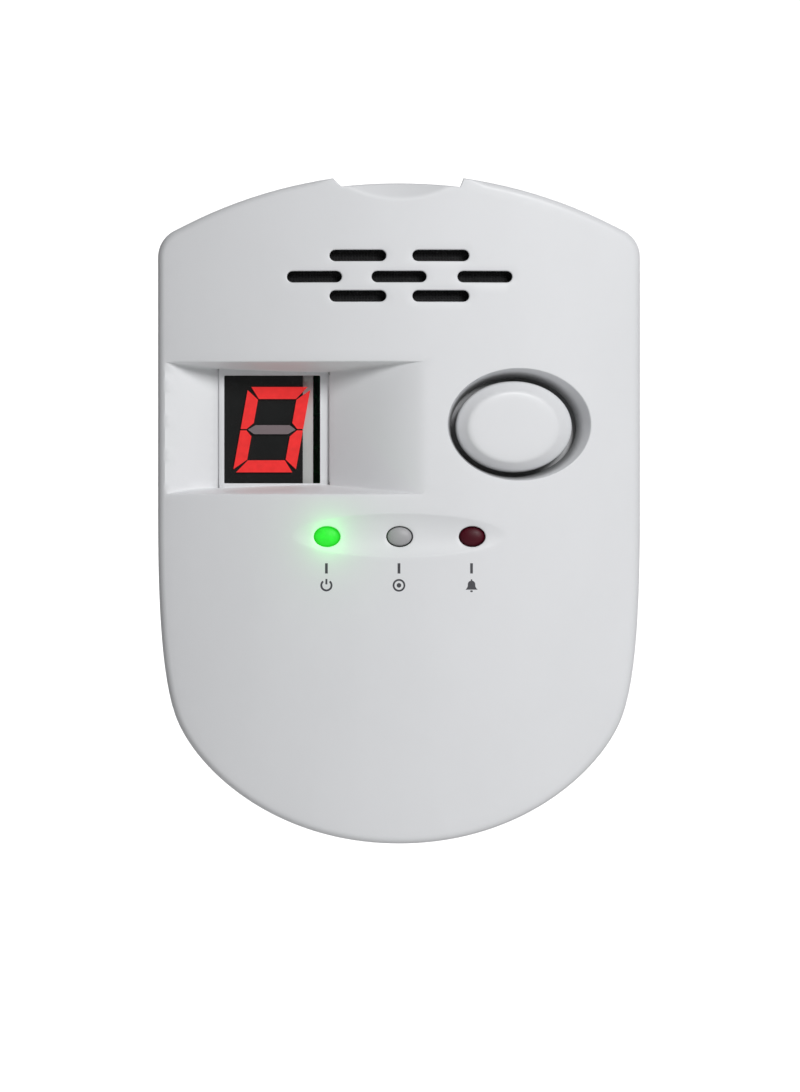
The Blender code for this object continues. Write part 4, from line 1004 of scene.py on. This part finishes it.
def board_finish():
    """Solder mask over copper: traces a little lighter than the board between them, and bare pads."""
    finish = Finish("circuit_board", 0.4, Coat_Weight=0.25, Coat_Roughness=0.2)
    cells = {"Scale": 260, "Vector": finish.coordinates}
    edges = finish.node("ShaderNodeTexVoronoi", cells, feature="DISTANCE_TO_EDGE", distance="MANHATTAN")
    trace = finish.ranged(edges.outputs["Distance"], 1, 0, 0.05, 0.07)
    spots = {"Scale": 330, "Randomness": 0.25, "Vector": finish.coordinates}
    dots = finish.node("ShaderNodeTexVoronoi", spots, feature="F1")
    pad = finish.ranged(dots.outputs["Distance"], 1, 0, 0.12, 0.15)
    mask = finish.mixed(trace, (0.015, 0.13, 0.05), (0.03, 0.24, 0.09))
    mottled = finish.mixed(finish.ranged(finish.noise(0.004), 0, 0.4), mask, (0.01, 0.09, 0.04))
    finish.colour(finish.mixed(pad, mottled, (0.62, 0.60, 0.52)))
    finish.rough(0.32, 0.48, 0.001)
    finish.bump((trace, 0.00003), (pad, 0.00005), (finish.noise(0.0004, 2), 0.000004))
    return finish


def woven(name, colour, pitch, depth, metallic=0.0, roughness=0.4):
    """Fine square weave, as of a wire gauze or a dust screen."""
    finish = Finish(name, roughness, metallic)
    weave = finish.math("MAXIMUM", *(finish.waves(way, pitch).outputs["Fac"] for way in "XZ"))
    finish.colour(finish.mixed(finish.ranged(weave, 0, 1, 0.3, 0.9), scaled(colour, 0.35), colour))
    finish.rough(roughness - 0.08, roughness + 0.1, 0.0006)
    finish.bump((weave, depth), (finish.noise(0.0002, 2), depth * 0.1))
    return finish


def banded(name, colour, edge_colour, pitch, depth, roughness=0.4):
    """Turns of tape or wire lying side by side."""
    finish = Finish(name, roughness, Coat_Weight=0.3, Coat_Roughness=0.15)
    wave = finish.waves("Z", pitch)
    wave.inputs["Distortion"].default_value = 0.4
    band = finish.ranged(wave.outputs["Fac"], 0, 1, 0.05, 0.4)
    finish.colour(finish.mixed(band, edge_colour, colour))
    finish.rough(roughness - 0.06, roughness + 0.08, 0.001)
    finish.bump((band, depth), (finish.noise(0.0006), depth * 0.2))
    return finish


def label_finish():
    """A satin film with a plain printed border and two rules, and no words."""
    finish = Finish("label_film", 0.42, Coat_Weight=0.2, Coat_Roughness=0.3)
    split = finish.node("ShaderNodeSeparateXYZ", {"Vector": finish.coordinates})
    across = finish.math("ABSOLUTE", split.outputs["X"])
    down = finish.math("ABSOLUTE", finish.math("SUBTRACT", split.outputs["Z"], LABEL_Z))

    def within(source, limit):
        return finish.math("LESS_THAN", source, limit)

    def line(source, place):
        return within(finish.math("ABSOLUTE", finish.math("SUBTRACT", source, place)), 0.00012)

    sides = finish.math("MULTIPLY", line(across, 0.0140), within(down, 0.0081))
    ends = finish.math("MULTIPLY", line(down, 0.0080), within(across, 0.0141))
    rules = finish.math("MULTIPLY", line(down, 0.0026), within(across, 0.0120))
    ink = finish.math("MAXIMUM", finish.math("MAXIMUM", sides, ends), rules)
    paper = finish.mixed(finish.ranged(finish.noise(0.003, 4)), (0.66, 0.67, 0.69), (0.74, 0.75, 0.77))
    finish.colour(finish.mixed(ink, paper, (0.10, 0.10, 0.11)))
    finish.rough(0.36, 0.50, 0.0008)
    finish.bump((finish.noise(0.0003), 0.000004))
    return finish


def glowing(name, colour, light, strength, roughness=0.25):
    """Tinted epoxy with a light behind it. The strength is uneven, as the resin scatters it."""
    finish = Finish(name, roughness, Specular_IOR_Level=0.3)
    cloud = finish.noise(0.0011)
    finish.colour(finish.mixed(finish.ranged(cloud), scaled(colour, 0.85), colour))
    emission = finish.mixed(finish.ranged(cloud), scaled(light, 0.88), light)
    finish.link(emission, finish.shader.inputs["Emission Color"])
    finish.shader.inputs["Emission Strength"].default_value = strength
    finish.rough(roughness - 0.06, roughness + 0.08, 0.0004)
    finish.bump((finish.noise(0.0003, 2), 0.000003))
    return finish


FINISHES = {
    # The cover and the button have painted shade in their gaps and hollows, and the cover's is the darker.
    "cover": plastic("cover_plastic", (0.79, 0.80, 0.82), 0.46, vary=0.012, crevice_shade=0.3),
    "rear": plastic("rear_plastic", (0.75, 0.76, 0.78), 0.52, grain=0.00035, depth=0.000007, vary=0.02),
    "button": plastic("button_plastic", (0.79, 0.80, 0.82), 0.42, vary=0.012, crevice_shade=0.5),
    "black": plastic("black_plastic", (0.022, 0.022, 0.024), 0.5, depth=0.000008, vary=0.15),
    "print": plastic("printed_ink", (0.06, 0.06, 0.07), 0.55, grain=0.00012, vary=0.12),
    "label": label_finish(),
    "blade": metal("nickel_plate", (0.80, 0.77, 0.70), 0.26, brushed=(8, 0.6, 8)),
    "steel": metal("zinc_steel", (0.62, 0.63, 0.65), 0.34),
    "can": metal("sensor_can_steel", (0.66, 0.66, 0.67), 0.28, brushed=(6, 0.5, 6)),
    "gauze": woven("wire_gauze", (0.55, 0.55, 0.56), 0.0003, 0.00006, metallic=1.0, roughness=0.35),
    "screen": woven("dust_screen_felt", (0.012, 0.012, 0.013), 0.0005, 0.00008, roughness=0.85),
    "board": board_finish(),
    "green_lamp": glowing("green_lamp_epoxy", (0.02, 0.26, 0.03), (0.02, 0.66, 0.02), 0.9, 0.5),
    "grey_lamp": plastic("clear_lamp_epoxy", (0.40, 0.40, 0.41), 0.5, depth=0.000003, vary=0.10),
    "red_lamp": glowing("red_lamp_epoxy", (0.055, 0.001, 0.007), (0.20, 0.0, 0.02), 0.06, 0.5),
    "display": plastic("display_body", (0.50, 0.51, 0.50), 0.5, vary=0.06),
    "film": plastic("display_film", (0.012, 0.013, 0.013), 0.16, depth=0.0000015, vary=0.2, Coat_Weight=0.5),
    "lit": glowing("segment_lit", (0.36, 0.015, 0.015), (0.66, 0.024, 0.024), 0.85, 0.35),
    "unlit": plastic("segment_unlit", (0.20, 0.16, 0.17), 0.4, vary=0.12),
    "red_wire": plastic("red_insulation", (0.55, 0.03, 0.02), 0.42, vary=0.1),
    "blue_wire": plastic("blue_insulation", (0.03, 0.10, 0.45), 0.42, vary=0.1),
    "ferrite": plastic("ferrite_core", (0.055, 0.055, 0.06), 0.6, grain=0.0002, depth=0.00002, vary=0.25),
    "sleeve": banded("capacitor_sleeve", (0.03, 0.035, 0.06), (0.02, 0.02, 0.03), 0.006, 0.00001, 0.3),
    "tape": banded("winding_tape", (0.72, 0.52, 0.06), (0.50, 0.33, 0.04), 0.0022, 0.00005, 0.35),
    "film_box": plastic("capacitor_box", (0.66, 0.46, 0.05), 0.38, depth=0.000008, vary=0.08),
    "ceramic": plastic("ceramic_coating", (0.03, 0.12, 0.42), 0.3, grain=0.0006, depth=0.00002, vary=0.12),
    "glass": plastic("fuse_glass", (0.70, 0.76, 0.74), 0.08, depth=0.000002, vary=0.06, Coat_Weight=0.6),
}

NODES_BY_FINISH = {
    "black": (
        "blade_carrier", "switch_body", "switch_plunger", "sensor_base", "buzzer", "controller_chip",
        "voltage_regulator", "power_led_spacer", "state_led_spacer", "alarm_led_spacer",
    ),
    "label": ("rating_label",),
    "board": ("main_board",),
    "blue_wire": ("neutral_wire",),
    "red_wire": ("live_wire",),
    "display": ("display_module",),
    "film": ("display_face",),
    "unlit": ("segment_g",),
    "screen": ("grille_dust_screen",),
    "can": ("sensor_can",),
    "gauze": ("sensor_gauze",),
    "ferrite": ("transformer_core",),
    "tape": ("transformer_winding",),
    "sleeve": ("smoothing_capacitor", "output_capacitor"),
    "film_box": ("mains_film_capacitor",),
    "glass": ("fuse",),
    "ceramic": ("varistor", "trim_potentiometer"),
}  # fmt: skip
NODE_FINISHES = {node: finish for finish, nodes in NODES_BY_FINISH.items() for node in nodes}
for node in NODES:
    if node.endswith("_blade"):
        NODE_FINISHES[node] = "blade"
    elif "screw" in node or node.endswith("_lead"):
        NODE_FINISHES[node] = "steel"
    elif node.startswith("segment_"):
        NODE_FINISHES.setdefault(node, "lit")


def painted(piece, finish):
    piece.data.materials.clear()
    piece.data.materials.append(FINISHES[finish].material)
    return piece


def placed(piece, body, finish, slot, *nodes):
    painted(piece, finish)
    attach(piece, body)
    if nodes:
        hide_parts(*nodes)


placed(front_cover(), "casing", "cover", "cover_white", "front_cover")
placed(rear_cover(), "casing", "rear", "rear_white", "rear_cover")
placed(test_button(), "button", "button", "button_white", "test_button")
for lamp_name, lamp_x in LAMP_XS.items():
    colour = {"power": "green", "state": "grey", "alarm": "red"}[lamp_name]
    piece = lamp(f"{lamp_name}_lamp", lamp_x)
    placed(piece, "casing", f"{colour}_lamp", f"{colour}_lamp", f"{lamp_name}_led")
for mark in marks():
    placed(mark, "casing", "print", "black_plastic")

for node, piece in NODES.items():
    if piece.hide_render:
        continue
    painted(piece, NODE_FINISHES[node])
    piece.data.shade_smooth()
    piece.data.set_sharp_from_angle(angle=math.radians(35))


# ---- Stage, camera and light ----


def stage_piece(name, corners, emission):
    """A matt white sheet that isn't part of the object."""
    mesh = bpy.data.meshes.new(name)
    mesh.from_pydata(corners, [], [(0, 1, 2, 3)])
    made = new_object(name, mesh)
    finish = Finish(name, 0.8)
    uneven = finish.ranged(finish.noise(0.3, 2))
    finish.colour(finish.mixed(uneven, (0.88, 0.88, 0.88), (0.91, 0.91, 0.91)))
    finish.shader.inputs["Emission Color"].default_value = (1, 1, 1, 1)
    finish.shader.inputs["Emission Strength"].default_value = emission
    mesh.materials.append(finish.material)


FLOOR_Z = -0.5
STAGE_REACH = 3.0
near = [(x, -STAGE_REACH, FLOOR_Z) for x in (-STAGE_REACH, STAGE_REACH)]
far = [(x, STAGE_REACH, FLOOR_Z) for x in (-STAGE_REACH, STAGE_REACH)]
top = [(x, STAGE_REACH, STAGE_REACH) for x in (-STAGE_REACH, STAGE_REACH)]
stage_piece("floor", near + far[::-1], 0.1)
stage_piece("backdrop", far + top[::-1], 1.0)

key = new_object("key", bpy.data.lights.new("key", "AREA"))
key.data.shape = "RECTANGLE"
key.data.size = key.data.size_y = 0.30
key.data.energy = 7.2
key.location = (0.37, -0.82, 0.46)
key.rotation_mode = "QUATERNION"
key.rotation_quaternion = (key.location - Vector((0, -0.03, 0))).to_track_quat("Z", "Y")
key.visible_camera = False

# The light that the lit lamp throws on the cover round it.
glow = new_object("power_glow", bpy.data.lights.new("power_glow", "POINT"))
glow.data.energy = 0.00035
glow.data.color = (0.05, 1.0, 0.08)
glow.data.shadow_soft_size = 0.0006
glow.location = (LAMP_XS["power"], APEX_Y - 0.0022, LAMP_Z)

# The world lights the object dimly, and the camera sees it as plain white.
world = bpy.data.worlds.new("studio")
world.use_nodes = True
bpy.context.scene.world = world
tree = world.node_tree
ambient = tree.nodes["Background"]
ambient.inputs["Color"].default_value = (1, 1, 1, 1)
ambient.inputs["Strength"].default_value = 0.10
seen = tree.nodes.new("ShaderNodeBackground")
seen.inputs["Color"].default_value = (1, 1, 1, 1)
mix = tree.nodes.new("ShaderNodeMixShader")
tree.links.new(tree.nodes.new("ShaderNodeLightPath").outputs["Is Camera Ray"], mix.inputs["Fac"])
tree.links.new(ambient.outputs[0], mix.inputs[1])
tree.links.new(seen.outputs[0], mix.inputs[2])
tree.links.new(mix.outputs[0], tree.nodes["World Output"].inputs["Surface"])

camera = new_object("camera", bpy.data.cameras.new("camera"))
camera.data.lens = 319.1
camera.data.sensor_width = 36
camera.data.clip_start = 0.01
camera.location = (0.00017, -1.638, -0.00595)
camera.rotation_euler = (math.radians(90), 0, 0)
bpy.context.scene.camera = camera
bpy.context.scene.view_settings.view_transform = "Standard"

bpy.context.view_layer.update()
